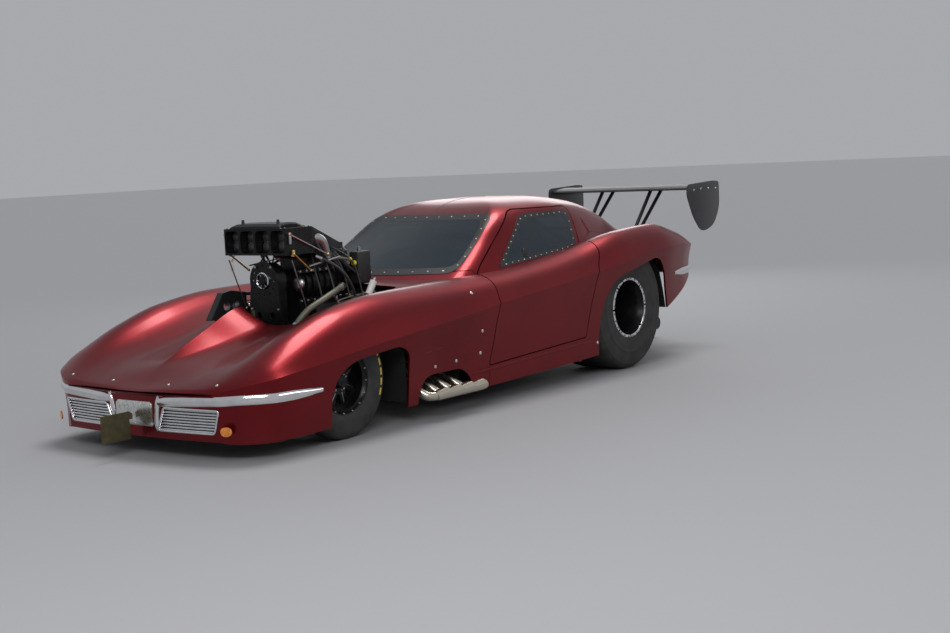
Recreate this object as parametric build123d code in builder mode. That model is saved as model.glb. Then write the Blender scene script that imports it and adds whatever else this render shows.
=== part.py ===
"""A full-size drag racing car: a low coupe body on a tube chassis, with a blown engine through the hood.

The frame is in millimetres. +X is forward, +Y is the car's left and +Z is up.
The origin is on the ground, at the centre of the car's overall box.
Heights are over the ground. Body stations are given from the front axle (FA) or from the rear axle (RA).
"""

import os
from math import cos, radians, sin

from build123d import *

# Driving dimensions of the whole car
WHEELBASE = 2920
FRONT_REACH = 1080  # front axle to the tip of the staging plate
REAR_REACH = 4700  # front axle to the trailing edge of the wing's end plates
OVERALL = FRONT_REACH + REAR_REACH
FA = OVERALL / 2 - FRONT_REACH
RA = FA - WHEELBASE

# Body skin
BODY_WALL = 14
GLASS_WALL = 7
DOOR_GAP = 14
TRIM_PROUD = 10
LAMP_RADIUS = 26
BUMPER_HEIGHT = 44

# Front wheels
FRONT_TYRE_RADIUS = 330
FRONT_TYRE_WIDTH = 130
FRONT_TREAD_WIDTH = 104
FRONT_RIM_RADIUS = 196
FRONT_RIM_WIDTH = 92
FRONT_TRACK_HALF = 769  # car centre to the middle of the tyre
STEER_AXIS_Y = 655
STEER_ARM = 100
SPINDLE_RADIUS = 20
BALL_PIN_RADIUS = 10
FRONT_DISC_RADIUS = 140

# Rear wheels
REAR_TYRE_RADIUS = 438
REAR_TYRE_WIDTH = 440
REAR_TREAD_WIDTH = 416
REAR_RIM_RADIUS = 206
REAR_RIM_WIDTH = 400
REAR_TRACK_HALF = 680
AXLE_SHAFT_RADIUS = 24
AXLE_TUBE_RADIUS = 48
REAR_DISC_RADIUS = 150
REAR_FLANGE_Y = 600  # where the rim's centre bolts to the axle

# Tyres and rims
TYRE_WALL = 9
RIM_WALL = 8
RIM_FLANGE = 12
RIM_CENTRE_WALL = 12

# Clearances
RUNNING_CLEARANCE = 0.3
SEAT_CLEARANCE = 0.3
PIN_CLEARANCE = 0.05

# Chassis
TUBE_RADIUS = 21
SMALL_TUBE_RADIUS = 15
CROSS_RADIUS = TUBE_RADIUS - 1
TUBE_BEND = 90
RAIL_Z = 150
SIDE_RAIL_Y = 770
ENGINE_RAIL_Y = 330
REAR_RAIL_Y = 400
REAR_RAIL_Z = 560
FIREWALL_X = FA - 1040
HOOP_X = FA - 2360
SHEET = 4
TUNNEL_HALF = 170
TUNNEL_TOP = 470

# Doors
HINGE_X = FA - 1440
HINGE_Y = 870
HINGE_PIN_RADIUS = 8
HINGE_HEIGHTS = (360, 540)
HINGE_LUG = 16  # radius of the knuckle round the pin
HINGE_LEAF = 12  # thickness of one leaf

# Engine
CRANK_Z = 330
ENGINE_FRONT = FA - 350
ENGINE_LENGTH = 560
BANK_ANGLE = 45
DECK_HEIGHT = 272
HEAD_HEIGHT = 105
COVER_HEIGHT = 70
BLOWER_AXIS_Z = 825
BLOWER_LENGTH = 500
BLOWER_WIDTH = 300
BLOWER_HEIGHT = 200
PULLEY_Z = 872
PULLEY_RADIUS = 105
CRANK_PULLEY_RADIUS = 92
BELT_WIDTH = 76
HAT_HALF_WIDTH = 260
HAT_FRONT = FA - 150
HAT_BOTTOM = 1030
HAT_TOP = 1190
HAT_OPENINGS = 4
HEADER_RADIUS = 29
HEADER_PITCH = 115

# Wing and tail
WING_HALF_SPAN = 655
WING_CHORD = 455
WING_Z = 1215
WING_THICKNESS = 44
PLATE_WALL = 6
WHEELIE_AXLE_X = RA - 1600
WHEELIE_AXLE_Z = 120
WHEELIE_WHEEL_RADIUS = 52
WHEELIE_WHEEL_WIDTH = 30

# Towing
TOW_HOLE_RADIUS = 12.5
TOW_PLATE = 12
TOW_PLATE_HALF = 24
TOW_PLATE_REACH = 85

os.makedirs("parts", exist_ok=True)


def write(part, label):
    """Names one finished piece and writes it as the node of that name."""
    part.label = label
    export_step(part, f"parts/{label}.step")


def cross_plane(x):
    """A plane across the car at x: the sketch's X is the car's left, its Y is up, and it extrudes forward."""
    return Plane(origin=(x, 0, 0), x_dir=(0, 1, 0), z_dir=(1, 0, 0))


def side_plane(y):
    """A plane along the car at y: the sketch's X is forward, its Y is up, and it extrudes to the right."""
    return Plane(origin=(0, y, 0), x_dir=(1, 0, 0), z_dir=(0, -1, 0))


def tube(points, radius, bend=TUBE_BEND):
    """A round tube along straight runs, with a bend at each corner."""
    with BuildPart() as piece:
        with BuildLine() as path:
            if len(points) > 2:
                FilletPolyline(*points, radius=bend)
            else:
                Line(*points)
        with BuildSketch(Plane(origin=path.line @ 0, z_dir=path.line % 0)):
            Circle(radius)
        sweep(path=path.line)
    return piece.part


def both(points):
    """The points, and the same points mirrored to the car's right."""
    return [[(x, side * y, z) for x, y, z in points] for side in (1, -1)]


def tube_pair(points, radius, bend=TUBE_BEND):
    """The same tube on the left and, mirrored, on the right."""
    return [tube(hand, radius, bend) for hand in both(points)]


def rod(start, end, radius):
    """A straight round bar between two points."""
    axis = Vector(end) - Vector(start)
    with BuildPart() as piece:
        with BuildSketch(Plane(origin=start, z_dir=axis)):
            Circle(radius)
        extrude(amount=axis.length)
    return piece.part


def rod_pair(start, end, radius):
    """The same round bar on the left and, mirrored, on the right."""
    return [rod(*hand, radius) for hand in both([start, end])]


def block(low, high):
    """A box between two opposite corners."""
    with BuildPart() as piece:
        with Locations(tuple((a + b) / 2 for a, b in zip(low, high))):
            Box(*[abs(b - a) for a, b in zip(low, high)])
    return piece.part


def block_pair(low, high):
    """The same box on the left and, mirrored, on the right."""
    return [block(*hand) for hand in both([low, high])]


def side_prism(outline, low_y, high_y):
    """A prism with the given side view outline between two distances from the car's centre plane."""
    with BuildPart() as prism:
        with BuildSketch(side_plane(high_y)):
            with BuildLine():
                Polyline(*outline, close=True)
            make_face()
        extrude(amount=high_y - low_y)
    return prism.part


def cross_prism(outline, low_x, high_x):
    """A prism with the given front view outline between two stations."""
    with BuildPart() as prism:
        with BuildSketch(cross_plane(low_x)):
            with BuildLine():
                Polyline(*outline, close=True)
            make_face()
        extrude(amount=high_x - low_x)
    return prism.part


def mirrored(outline):
    """The outline's right half added to the left half that is given, from bottom to top."""
    return outline + [(-y, z) for y, z in reversed(outline)]


# Lower body, one row a station. All columns are millimetres:
# x, sill height, sill half width, belt half width, belt height, fender peak half width, fender peak height,
# valley half width, valley height, middle height
BODY_STATIONS = (
    (FA + 850, 100, 600, 650, 375, 560, 385, 300, 372, 362),
    (FA + 790, 92, 730, 765, 405, 640, 425, 330, 400, 392),
    (FA + 600, 95, 865, 900, 440, 690, 520, 360, 462, 490),
    (FA + 300, 100, 885, 930, 475, 705, 655, 345, 530, 625),
    (FA, 105, 885, 938, 510, 708, 742, 330, 600, 735),
    (FA - 400, 112, 880, 938, 545, 708, 790, 400, 675, 760),
    (FA - 1000, 118, 880, 938, 598, 708, 800, 470, 770, 795),
    (FA - 1400, 122, 882, 938, 640, 735, 805, 500, 800, 810),
    (RA + 560, 150, 900, 946, 725, 755, 880, 500, 880, 880),
    (RA, 170, 905, 955, 790, 800, 985, 540, 925, 940),
    (RA - 440, 360, 900, 948, 828, 790, 1005, 520, 930, 930),
    (RA - 800, 480, 860, 900, 838, 750, 945, 500, 885, 880),
    (RA - 1120, 600, 770, 800, 805, 700, 830, 480, 815, 805),
)
SHOULDER_IN = 0.2  # the shoulder's share of the way in from the belt to the fender peak
SHOULDER_UP = 0.7  # the shoulder's share of the way up from the belt to the fender peak

# Cabin, one row a ring from the belt to the crown: height, then x and half width of each corner from the
# windshield's middle, round its corner, the door, the rear quarter and the rear window's corner to its middle
CABIN_RINGS = (
    (
        800, (FA - 1050, 0), (FA - 1200, 520), (FA - 1430, 705),
        (HOOP_X, 735), (RA + 60, 712), (RA - 960, 400), (RA - 1050, 0),
    ),
    (
        1170, (FA - 1810, 0), (FA - 1840, 380), (FA - 1900, 540),
        (HOOP_X, 570), (RA + 190, 545), (RA - 180, 320), (RA - 230, 0),
    ),
    (
        1268, (FA - 1960, 0), (FA - 1970, 250), (FA - 2010, 400),
        (HOOP_X, 450), (RA + 300, 390), (RA + 200, 240), (RA + 160, 0),
    ),
)
CABIN_FLOOR = 640  # the cabin's hollow opens into the lower body from this height


def lower_section(row, inset):
    """The lower body's outline at one station, drawn inward by inset."""
    x, sill_z, sill_y, belt_y, belt_z, peak_y, peak_z, valley_y, valley_z, middle_z = row
    shoulder_y = belt_y + (peak_y - belt_y) * SHOULDER_IN
    shoulder_z = belt_z + (peak_z - belt_z) * SHOULDER_UP
    half = [
        (sill_y - inset, sill_z),
        (belt_y - inset, belt_z),
        (shoulder_y - inset * 0.8, shoulder_z - inset * 0.5),
        (peak_y - inset / 3, peak_z - inset),
        (valley_y, valley_z - inset),
        (0, middle_z - inset),
    ]
    if inset > 0:
        half.insert(0, (sill_y - inset, sill_z - 200))
    return half + [(-y, z) for y, z in reversed(half[:-1])]


def lower_body(inset):
    """The lower body as one solid, smaller all round by inset, or larger where inset is negative."""
    rows = list(BODY_STATIONS)
    rows[0] = (rows[0][0] - inset, *rows[0][1:])
    rows[-1] = (rows[-1][0] + inset, *rows[-1][1:])
    with BuildPart() as body:
        for span in zip(rows, rows[1:]):
            for row in span:
                with BuildSketch(cross_plane(row[0])):
                    with BuildLine():
                        Polyline(*lower_section(row, inset), close=True)
                    make_face()
            loft(ruled=True, clean=False)
    return body.part


def flank_y(x, z):
    """Half width of the body's flank between the sill and the belt, at one station and height."""
    for front, rear in zip(BODY_STATIONS, BODY_STATIONS[1:]):
        if rear[0] <= x <= front[0]:
            share = (front[0] - x) / (front[0] - rear[0])
            sill_z, sill_y, belt_y, belt_z = [a + (b - a) * share for a, b in zip(front[1:5], rear[1:5])]
            return sill_y + (belt_y - sill_y) * (z - sill_z) / (belt_z - sill_z)
    raise ValueError(f"no station at {x}")


def cabin(inset):
    """The cabin above the belt as one solid, smaller all round by inset, with its foot in the lower body."""
    rings = []
    for height, *corners in CABIN_RINGS:
        half = []
        for x, y in corners:
            inward = inset * 1.3 * ((x > HOOP_X) - (x < HOOP_X))
            half.append((x - inward, max(y - inset, 0)))
        rings.append((height - inset, half))
    rings[0] = (CABIN_RINGS[0][0], rings[0][1])
    if inset:
        rings.insert(0, (CABIN_FLOOR, rings[0][1]))
    with BuildPart() as solid:
        for span in zip(rings, rings[1:]):
            for height, half in span:
                with BuildSketch(Plane.XY.offset(height)):
                    with BuildLine():
                        Polyline(*half, *[(x, -y) for x, y in reversed(half[1:-1])], close=True)
                    make_face()
            loft(ruled=True, clean=False)
    return solid.part


# Outlines of the body's openings and seams, side view (x, z) unless another view is named
SKIN_OUT = 1100  # beyond the widest point of the body
FRONT_ARCH = (
    (FA + 200, 0), (FA + 200, 300), (FA + 140, 400), (FA + 30, 455), (FA - 400, 485), (FA - 445, 440),
    (FA - 460, 0),
)
REAR_ARCH = (
    (RA + 440, 0), (RA + 430, 330), (RA + 350, 520), (RA + 230, 640), (RA - 320, 715), (RA - 410, 620),
    (RA - 450, 370), (RA - 460, 0),
)
ARCH_DEPTH_Y = 600
HEADER_NOTCH = (
    (FA - 560, 0), (FA - 560, 215), (FA - 640, 270), (FA - 960, 270), (FA - 1020, 215), (FA - 1020, 0),
)
HOOD_OPENING = ((FA - 5, 200), (FA - 150, 420), (FA - 990, 440))  # plan view: x, half width
DOOR_FRONT_EDGE = ((FA - 1258, 255), (FA - 1300, 400), (FA - 1334, 622), (FA - 1396, 787))
DOOR_OUTLINE = (
    *DOOR_FRONT_EDGE, (FA - 1470, 830), (FA - 2020, 1190), (FA - 2650, 1178), (FA - 2600, 908),
    (FA - 2450, 750), (FA - 2394, 533), (FA - 2330, 300),
)
CLIP_SEAM = (
    (FA + 2000, 0), (FA - 1240, 0), *DOOR_FRONT_EDGE, (FA - 1396, 825), (FA - 1030, 825), (FA - 1030, 1500),
    (FA + 2000, 1500),
)
DOOR_INNER_Y = 420
DOOR_RELIEF = ((FA - 2630, 870), (FA - 2578, 965))  # inner rear corner cut back to swing past the fender
DOOR_RELIEF_Y = 770
SIDE_WINDOW = ((FA - 1652, 842), (FA - 2065, 1145), (FA - 2620, 1150), (FA - 2540, 908))
WINDSHIELD = ((600, 850), (480, 1155))  # front view, left half: half width, height
REAR_WINDOW = ((325, 975), (285, 1150))
GRILLE = ((225, 158), (590, 272))  # front view: two opposite corners of the left opening
GRILLE_BARS = 5
GRILLE_BAR = 7

with BuildPart() as outer_body:
    add(lower_body(0))
    add(cabin(0))

with BuildPart() as inner_body:
    add(lower_body(BODY_WALL))
    add(cabin(BODY_WALL))

with BuildPart() as glass_skin:
    add(cabin(0))
    add(cabin(GLASS_WALL), mode=Mode.SUBTRACT)

with BuildPart() as body_shell:
    add(outer_body.part)
    add(inner_body.part, mode=Mode.SUBTRACT)
    for side in (1, -1):
        for outline in (FRONT_ARCH, REAR_ARCH, HEADER_NOTCH):
            ends = sorted((side * ARCH_DEPTH_Y, side * SKIN_OUT))
            add(side_prism(outline, *ends), mode=Mode.SUBTRACT)
    (y0, z0), (y1, z1) = GRILLE
    add(block_pair((FA + 790, y0, z0), (FA + 900, y1, z1)), mode=Mode.SUBTRACT)
    with BuildSketch(Plane.XY.offset(CABIN_FLOOR - 300)):
        with BuildLine():
            Polyline(*HOOD_OPENING, *[(x, -y) for x, y in reversed(HOOD_OPENING)], close=True)
        make_face()
    extrude(amount=900, mode=Mode.SUBTRACT)

windshield_prism = cross_prism(mirrored(list(WINDSHIELD)), FA - 2000, FA - 900)
rear_window_prism = cross_prism(mirrored(list(REAR_WINDOW)), RA - 1000, RA + 160)

# Door openings, wider than the doors all round by the gap
door_openings = []
for y in (SKIN_OUT, -DOOR_INNER_Y):
    with BuildPart() as door_opening:
        with BuildSketch(side_plane(y)):
            with BuildLine():
                Polyline(*DOOR_OUTLINE, close=True)
            make_face()
            offset(amount=DOOR_GAP, kind=Kind.INTERSECTION)
        extrude(amount=SKIN_OUT - DOOR_INNER_Y)
    door_openings.append(door_opening.part)

# Front clip: everything forward of the seam at the doors and the windshield's foot
clip_prism = side_prism(CLIP_SEAM, -SKIN_OUT, SKIN_OUT)
with BuildPart() as front_clip:
    add(body_shell.part)
    add(clip_prism, mode=Mode.INTERSECT)
    add(door_openings, mode=Mode.SUBTRACT)
write(front_clip.part, "front_clip")

with BuildPart() as windshield:
    add(glass_skin.part)
    add(windshield_prism, mode=Mode.INTERSECT)
write(windshield.part, "windshield")

with BuildPart() as rear_window:
    add(glass_skin.part)
    add(rear_window_prism, mode=Mode.INTERSECT)
write(rear_window.part, "rear_window")

# Cabin shell: roof, pillars, rockers, quarters and tail
with BuildPart() as cabin_shell:
    add(body_shell.part)
    add([clip_prism, windshield_prism, rear_window_prism, *door_openings], mode=Mode.SUBTRACT)
write(cabin_shell.part, "cabin_shell")

for side, hand in ((1, "left"), (-1, "right")):
    ends = sorted((side * DOOR_INNER_Y, side * SKIN_OUT))
    with BuildPart() as door_window:
        add(glass_skin.part)
        add(side_prism(SIDE_WINDOW, *ends), mode=Mode.INTERSECT)
    write(door_window.part, f"door_window_{hand}")

    with BuildPart() as door:
        add(body_shell.part)
        add(side_prism(DOOR_OUTLINE, *ends), mode=Mode.INTERSECT)
        add(side_prism(SIDE_WINDOW, *ends), mode=Mode.SUBTRACT)
        (x0, z0), (x1, z1) = DOOR_RELIEF
        relief = block((x0, side * DOOR_INNER_Y, z0), (x1, side * DOOR_RELIEF_Y, z1))
        add(relief, mode=Mode.SUBTRACT)
        for z in HINGE_HEIGHTS:
            foot = (HINGE_X, side * HINGE_Y, z)
            head = (HINGE_X, side * HINGE_Y, z + HINGE_LEAF)
            root = side * (flank_y(HINGE_X, z) - BODY_WALL / 2)
            add(block((HINGE_X - HINGE_LUG, foot[1], z), (HINGE_X + HINGE_LUG, root, head[2])))
            add(rod(foot, head, HINGE_LUG))
            add(rod(foot, head, HINGE_PIN_RADIUS + PIN_CLEARANCE), mode=Mode.SUBTRACT)
    write(door.part, f"door_{hand}")

# Trim on the body skin: a slightly larger lower body, kept only inside each piece's box
with BuildPart() as trim_skin:
    add(lower_body(-TRIM_PROUD))
    add(outer_body.part, mode=Mode.SUBTRACT)


def trim(boxes):
    """Strips of trim that follow the body's skin inside the given boxes."""
    with BuildPart() as piece:
        add(trim_skin.part)
        add(boxes, mode=Mode.INTERSECT)
    return piece.part


NOSE = FA + 850
TAIL = RA - 1120
BUMPER_Z = 308  # lower edges of the bumper blades
REAR_BUMPER_Z = 606
LAMP_Y, LAMP_Z = 700, 172
NOSE_PANEL = ((-150, 200), (150, 300))

front_bands = block_pair((FA + 284, 160, BUMPER_Z), (NOSE + 50, SKIN_OUT, BUMPER_Z + BUMPER_HEIGHT))
rear_bands = block_pair((TAIL - 50, 420, REAR_BUMPER_Z), (RA - 620, SKIN_OUT, REAR_BUMPER_Z + BUMPER_HEIGHT))
write(trim(front_bands + rear_bands), "bumpers")
write(trim(block((NOSE - 20, *NOSE_PANEL[0]), (NOSE + 50, *NOSE_PANEL[1]))), "nose_panel")
write(trim(rod_pair((FA + 700, LAMP_Y, LAMP_Z), (NOSE + 50, LAMP_Y, LAMP_Z), LAMP_RADIUS)), "marker_lamps")

# Grilles: a frame with level bars in each opening of the nose
with BuildPart() as grilles:
    (y0, z0), (y1, z1) = GRILLE
    low_y, high_y = y0 + SEAT_CLEARANCE, y1 - SEAT_CLEARANCE
    low_z, high_z = z0 + SEAT_CLEARANCE, z1 - SEAT_CLEARANCE
    back, face = NOSE - BODY_WALL, NOSE - 1
    add(block_pair((back, low_y, low_z), (face, high_y, high_z)))
    add(block_pair((back, low_y + 9, low_z + 9), (face, high_y - 9, high_z - 9)), mode=Mode.SUBTRACT)
    pitch = (high_z - low_z) / (GRILLE_BARS + 1)
    for bar in range(1, GRILLE_BARS + 1):
        z = low_z + bar * pitch
        add(block_pair((back, low_y + 5, z - GRILLE_BAR / 2), (face, high_y - 5, z + GRILLE_BAR / 2)))
write(grilles.part, "grilles")

# Staging plate: a thin upright plate ahead of the nose, which trips the start beam
STAGING_X = NOSE + TRIM_PROUD + SEAT_CLEARANCE
with BuildPart() as staging_plate:
    with BuildSketch(side_plane(SHEET / 2)):
        with BuildLine():
            Polyline(
                (STAGING_X, 205), (FA + 884, 205), (FA + 884, 95), (FA + FRONT_REACH, 95),
                (FA + FRONT_REACH, 250), (FA + 884, 250), (STAGING_X, 235), close=True,
            )
        make_face()
    extrude(amount=SHEET)
write(staging_plate.part, "staging_plate")

# Frame rails, points (x, y, z) of the left tube of each pair, with a flat towing eye ahead of the front ones
TOWER_TOP = 660
TOWER_PLATE = 12
NOSE_CROSS_X = FA + 640
OUTRIGGER_X = FA - 620
KICK_UP_X = RA + 380
FRAME_TAIL_X = RA - 640
SHOCK_CROSS = (RA - 160, 772)
TOW_X = NOSE_CROSS_X + 58
BODY_MOUNTS = (FA - 1130, FA - 1500, FA - 2280)  # stubs that carry the body's sills
with BuildPart() as frame_rails:
    rails = (
        ((NOSE_CROSS_X, ENGINE_RAIL_Y, RAIL_Z), (FIREWALL_X, ENGINE_RAIL_Y, RAIL_Z)),
        ((OUTRIGGER_X, SIDE_RAIL_Y, RAIL_Z), (HOOP_X, SIDE_RAIL_Y, RAIL_Z)),
        (
            (HOOP_X, REAR_RAIL_Y, RAIL_Z),
            (KICK_UP_X, REAR_RAIL_Y, REAR_RAIL_Z),
            (FRAME_TAIL_X, REAR_RAIL_Y, REAR_RAIL_Z),
        ),
    )
    for points in rails:
        add(tube_pair(points, TUBE_RADIUS))
    tow_low = RAIL_Z - TOW_PLATE / 2
    tow_high = RAIL_Z + TOW_PLATE / 2
    add(
        block_pair(
            (NOSE_CROSS_X, ENGINE_RAIL_Y - TOW_PLATE_HALF, tow_low),
            (NOSE_CROSS_X + TOW_PLATE_REACH, ENGINE_RAIL_Y + TOW_PLATE_HALF, tow_high),
        )
    )
    hole_ends = ((TOW_X, ENGINE_RAIL_Y, tow_low - 1), (TOW_X, ENGINE_RAIL_Y, tow_high + 1))
    add(rod_pair(*hole_ends, TOW_HOLE_RADIUS), mode=Mode.SUBTRACT)
write(frame_rails.part, "frame_rails")

# Cross tubes between the rails, and the stubs that carry the body's sills
with BuildPart() as cross_members:
    crosses = (
        (NOSE_CROSS_X, ENGINE_RAIL_Y, RAIL_Z),
        (OUTRIGGER_X, SIDE_RAIL_Y, RAIL_Z),
        (FIREWALL_X, SIDE_RAIL_Y, RAIL_Z),
        (HOOP_X, SIDE_RAIL_Y, RAIL_Z),
        (FRAME_TAIL_X, REAR_RAIL_Y, REAR_RAIL_Z),
    )
    for x, y, z in crosses:
        add(rod((x, -y - 5, z), (x, y + 5, z), CROSS_RADIUS))
    for x in BODY_MOUNTS:
        reach = flank_y(x, RAIL_Z - SMALL_TUBE_RADIUS) - BODY_WALL - SEAT_CLEARANCE
        add(rod_pair((x, SIDE_RAIL_Y, RAIL_Z), (x, reach, RAIL_Z), SMALL_TUBE_RADIUS))
    add(frame_rails.part, mode=Mode.SUBTRACT)
write(cross_members.part, "cross_members")

# Strut towers over the front wheels' steering axes
with BuildPart() as strut_towers:
    tower_head = (FA - 60, 600, TOWER_TOP + 6)
    for x in (FA - 60, FA - 330):
        add(rod_pair((x, ENGINE_RAIL_Y, RAIL_Z), tower_head, SMALL_TUBE_RADIUS))
    plate_low = (FA - 75, STEER_AXIS_Y - 62, TOWER_TOP)
    plate_high = (FA + 38, STEER_AXIS_Y + 38, TOWER_TOP + TOWER_PLATE)
    add(block_pair(plate_low, plate_high))
    add(
        rod_pair(
            (FA, STEER_AXIS_Y, TOWER_TOP - 1), (FA, STEER_AXIS_Y, TOWER_TOP + TOWER_PLATE + 1),
            BALL_PIN_RADIUS + PIN_CLEARANCE,
        ),
        mode=Mode.SUBTRACT,
    )
    add([frame_rails.part, cross_members.part], mode=Mode.SUBTRACT)
write(strut_towers.part, "strut_towers")
FRAME = [frame_rails.part, cross_members.part, strut_towers.part]

# Roll cage, welded on top of the frame
ROOF_BAR_Z = 1120
with BuildPart() as roll_cage:
    hoop = [(HOOP_X, SIDE_RAIL_Y, RAIL_Z), (HOOP_X, 665, 760), (HOOP_X, 470, ROOF_BAR_Z + 20)]
    add(tube(hoop + [(x, -y, z) for x, y, z in reversed(hoop)], TUBE_RADIUS))
    front_leg = [
        (FIREWALL_X, SIDE_RAIL_Y, RAIL_Z), (FA - 1410, 620, 790), (FA - 1870, 435, ROOF_BAR_Z),
        (HOOP_X, 440, ROOF_BAR_Z + 20),
    ]
    add(tube_pair(front_leg, TUBE_RADIUS))
    add(rod((FA - 1410, -620, 790), (FA - 1410, 620, 790), TUBE_RADIUS))
    add(rod((FA - 1870, -435, ROOF_BAR_Z), (FA - 1870, 435, ROOF_BAR_Z), TUBE_RADIUS))
    add(rod_pair((HOOP_X, 450, ROOF_BAR_Z), (FRAME_TAIL_X, REAR_RAIL_Y, REAR_RAIL_Z), TUBE_RADIUS))
    add(rod((SHOCK_CROSS[0], -420, SHOCK_CROSS[1]), (SHOCK_CROSS[0], 420, SHOCK_CROSS[1]), TUBE_RADIUS))
    hinge_post = [(HINGE_X, SIDE_RAIL_Y, RAIL_Z), (HINGE_X, SIDE_RAIL_Y, 640), (FA - 1425, 622, 790)]
    add(tube_pair(hinge_post, SMALL_TUBE_RADIUS, 60))
    add(rod_pair((HINGE_X, SIDE_RAIL_Y, 450), (HOOP_X, 716, 480), TUBE_RADIUS))
    add(rod_pair((FIREWALL_X - 110, 715, 345), (FA - 60, 600, TOWER_TOP + 6), SMALL_TUBE_RADIUS))
    for z in HINGE_HEIGHTS:
        low = z - HINGE_LEAF - 1
        leaf_low = (HINGE_X - HINGE_LUG, SIDE_RAIL_Y, low)
        add(block_pair(leaf_low, (HINGE_X + HINGE_LUG, HINGE_Y, low + HINGE_LEAF)))
        add(rod_pair((HINGE_X, HINGE_Y, low), (HINGE_X, HINGE_Y, low + HINGE_LEAF), HINGE_LUG))
        add(rod_pair((HINGE_X, HINGE_Y, low), (HINGE_X, HINGE_Y, z + HINGE_LEAF + 8), HINGE_PIN_RADIUS))
    add(FRAME, mode=Mode.SUBTRACT)
write(roll_cage.part, "roll_cage")

# Floor with the driveshaft tunnel, firewall and rear bulkhead, all of thin sheet
FLOOR_Z = RAIL_Z - TUBE_RADIUS - SHEET - SEAT_CLEARANCE
BULKHEAD_X = HOOP_X + TUBE_RADIUS + SEAT_CLEARANCE
FIREWALL_BACK = FIREWALL_X - TUBE_RADIUS - SEAT_CLEARANCE - SHEET
with BuildPart() as floor_pan:
    with BuildSketch(cross_plane(BULKHEAD_X + SHEET + SEAT_CLEARANCE)):
        with BuildLine():
            upper = [(SIDE_RAIL_Y + TUBE_RADIUS, FLOOR_Z + SHEET), (TUNNEL_HALF + SHEET, FLOOR_Z + SHEET),
                     (TUNNEL_HALF - 20 + SHEET, TUNNEL_TOP + SHEET)]
            lower = [(TUNNEL_HALF - 20, TUNNEL_TOP), (TUNNEL_HALF, FLOOR_Z),
                     (SIDE_RAIL_Y + TUBE_RADIUS, FLOOR_Z)]
            left = upper + [(-y, z) for y, z in reversed(upper)]
            right = [(-y, z) for y, z in reversed(lower)] + lower
            Polyline(*left, *right, close=True)
        make_face()
    extrude(amount=FIREWALL_BACK - BULKHEAD_X - SHEET - 2 * SEAT_CLEARANCE)
write(floor_pan.part, "floor_pan")

# Bulkheads: the firewall behind the engine and the panel behind the seat
with BuildPart() as bulkheads:
    with BuildSketch(cross_plane(FIREWALL_BACK)):
        with BuildLine():
            Polyline(*mirrored([(735, FLOOR_Z), (740, 560), (480, 740)]), close=True)
        make_face()
        with Locations((0, CRANK_Z)):
            Circle(TUNNEL_HALF, mode=Mode.SUBTRACT)
    with BuildSketch(cross_plane(BULKHEAD_X)):
        with BuildLine():
            Polyline(*mirrored([(745, FLOOR_Z), (745, 700), (640, 860)]), close=True)
        make_face()
        with Locations((0, (CRANK_Z + REAR_TYRE_RADIUS) / 2)):
            Circle(110, mode=Mode.SUBTRACT)
    extrude(amount=SHEET)
    add(roll_cage.part, mode=Mode.SUBTRACT)
write(bulkheads.part, "bulkheads")

# Dashboard under the cross bar, with a hood over the driver's instruments
SEAT_Y = 385
DASH_X = FA - 1410
with BuildPart() as dashboard:
    with BuildSketch(side_plane(590)):
        with BuildLine():
            Polyline((DASH_X - 26, 640), (DASH_X - 60, 640), (DASH_X - 44, 800), (DASH_X - 30, 822),
                     (DASH_X + 5, 824), (DASH_X + 5, 800), (DASH_X - 10, 785), close=True)
        make_face()
    extrude(amount=2 * 590)
    add(roll_cage.part, mode=Mode.SUBTRACT)
write(dashboard.part, "dashboard")

with BuildPart() as steering_wheel:
    hub = (DASH_X - 240, SEAT_Y, 700)
    boss = (DASH_X - 40, SEAT_Y, 750)
    axis = Vector(boss) - Vector(hub)
    with BuildSketch(Plane(origin=hub, x_dir=(0, 1, 0), z_dir=axis)):
        Circle(140)
        Circle(118, mode=Mode.SUBTRACT)
        Rectangle(250, 26)
        with Locations((0, -62)):
            Rectangle(26, 124)
        Circle(34)
    extrude(amount=14)
    add(rod(hub, boss, 13))
    add(dashboard.part, mode=Mode.SUBTRACT)
write(steering_wheel.part, "steering_wheel")

# Driver's seat: a bucket with side bolsters, standing on the floor
SEAT_HALF = 200
FLOOR_TOP = FLOOR_Z + SHEET
SEAT_PROFILE = (
    (HOOP_X + 470, FLOOR_TOP), (HOOP_X + 490, 250), (HOOP_X + 440, 262), (HOOP_X + 150, 215),
    (HOOP_X + 80, 640), (HOOP_X + 70, 905), (HOOP_X + 30, 905), (HOOP_X + 32, 640), (HOOP_X + 60, FLOOR_TOP),
)
BOLSTER_PROFILE = (
    (HOOP_X + 470, FLOOR_TOP), (HOOP_X + 490, 330), (HOOP_X + 260, 320), (HOOP_X + 210, 400),
    (HOOP_X + 190, 700), (HOOP_X + 70, 800), (HOOP_X + 32, 640), (HOOP_X + 60, FLOOR_TOP),
)
with BuildPart() as driver_seat:
    add(side_prism(SEAT_PROFILE, SEAT_Y - SEAT_HALF, SEAT_Y + SEAT_HALF))
    for low_y in (SEAT_Y - SEAT_HALF, SEAT_Y + SEAT_HALF - 22):
        add(side_prism(BOLSTER_PROFILE, low_y, low_y + 22))
write(driver_seat.part, "driver_seat")

# Engine: a ninety degree V8 with its crankshaft along the car
ENGINE_REAR = ENGINE_FRONT - ENGINE_LENGTH


def bank_plane(side, height):
    """The plane across one cylinder bank at a height along it, with X forward, centred on the engine."""
    lean = Vector(0, side * sin(radians(BANK_ANGLE)), cos(radians(BANK_ANGLE)))
    middle = Vector((ENGINE_FRONT + ENGINE_REAR) / 2, 0, CRANK_Z)
    return Plane(origin=middle + lean * height, x_dir=(1, 0, 0), z_dir=lean)


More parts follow.
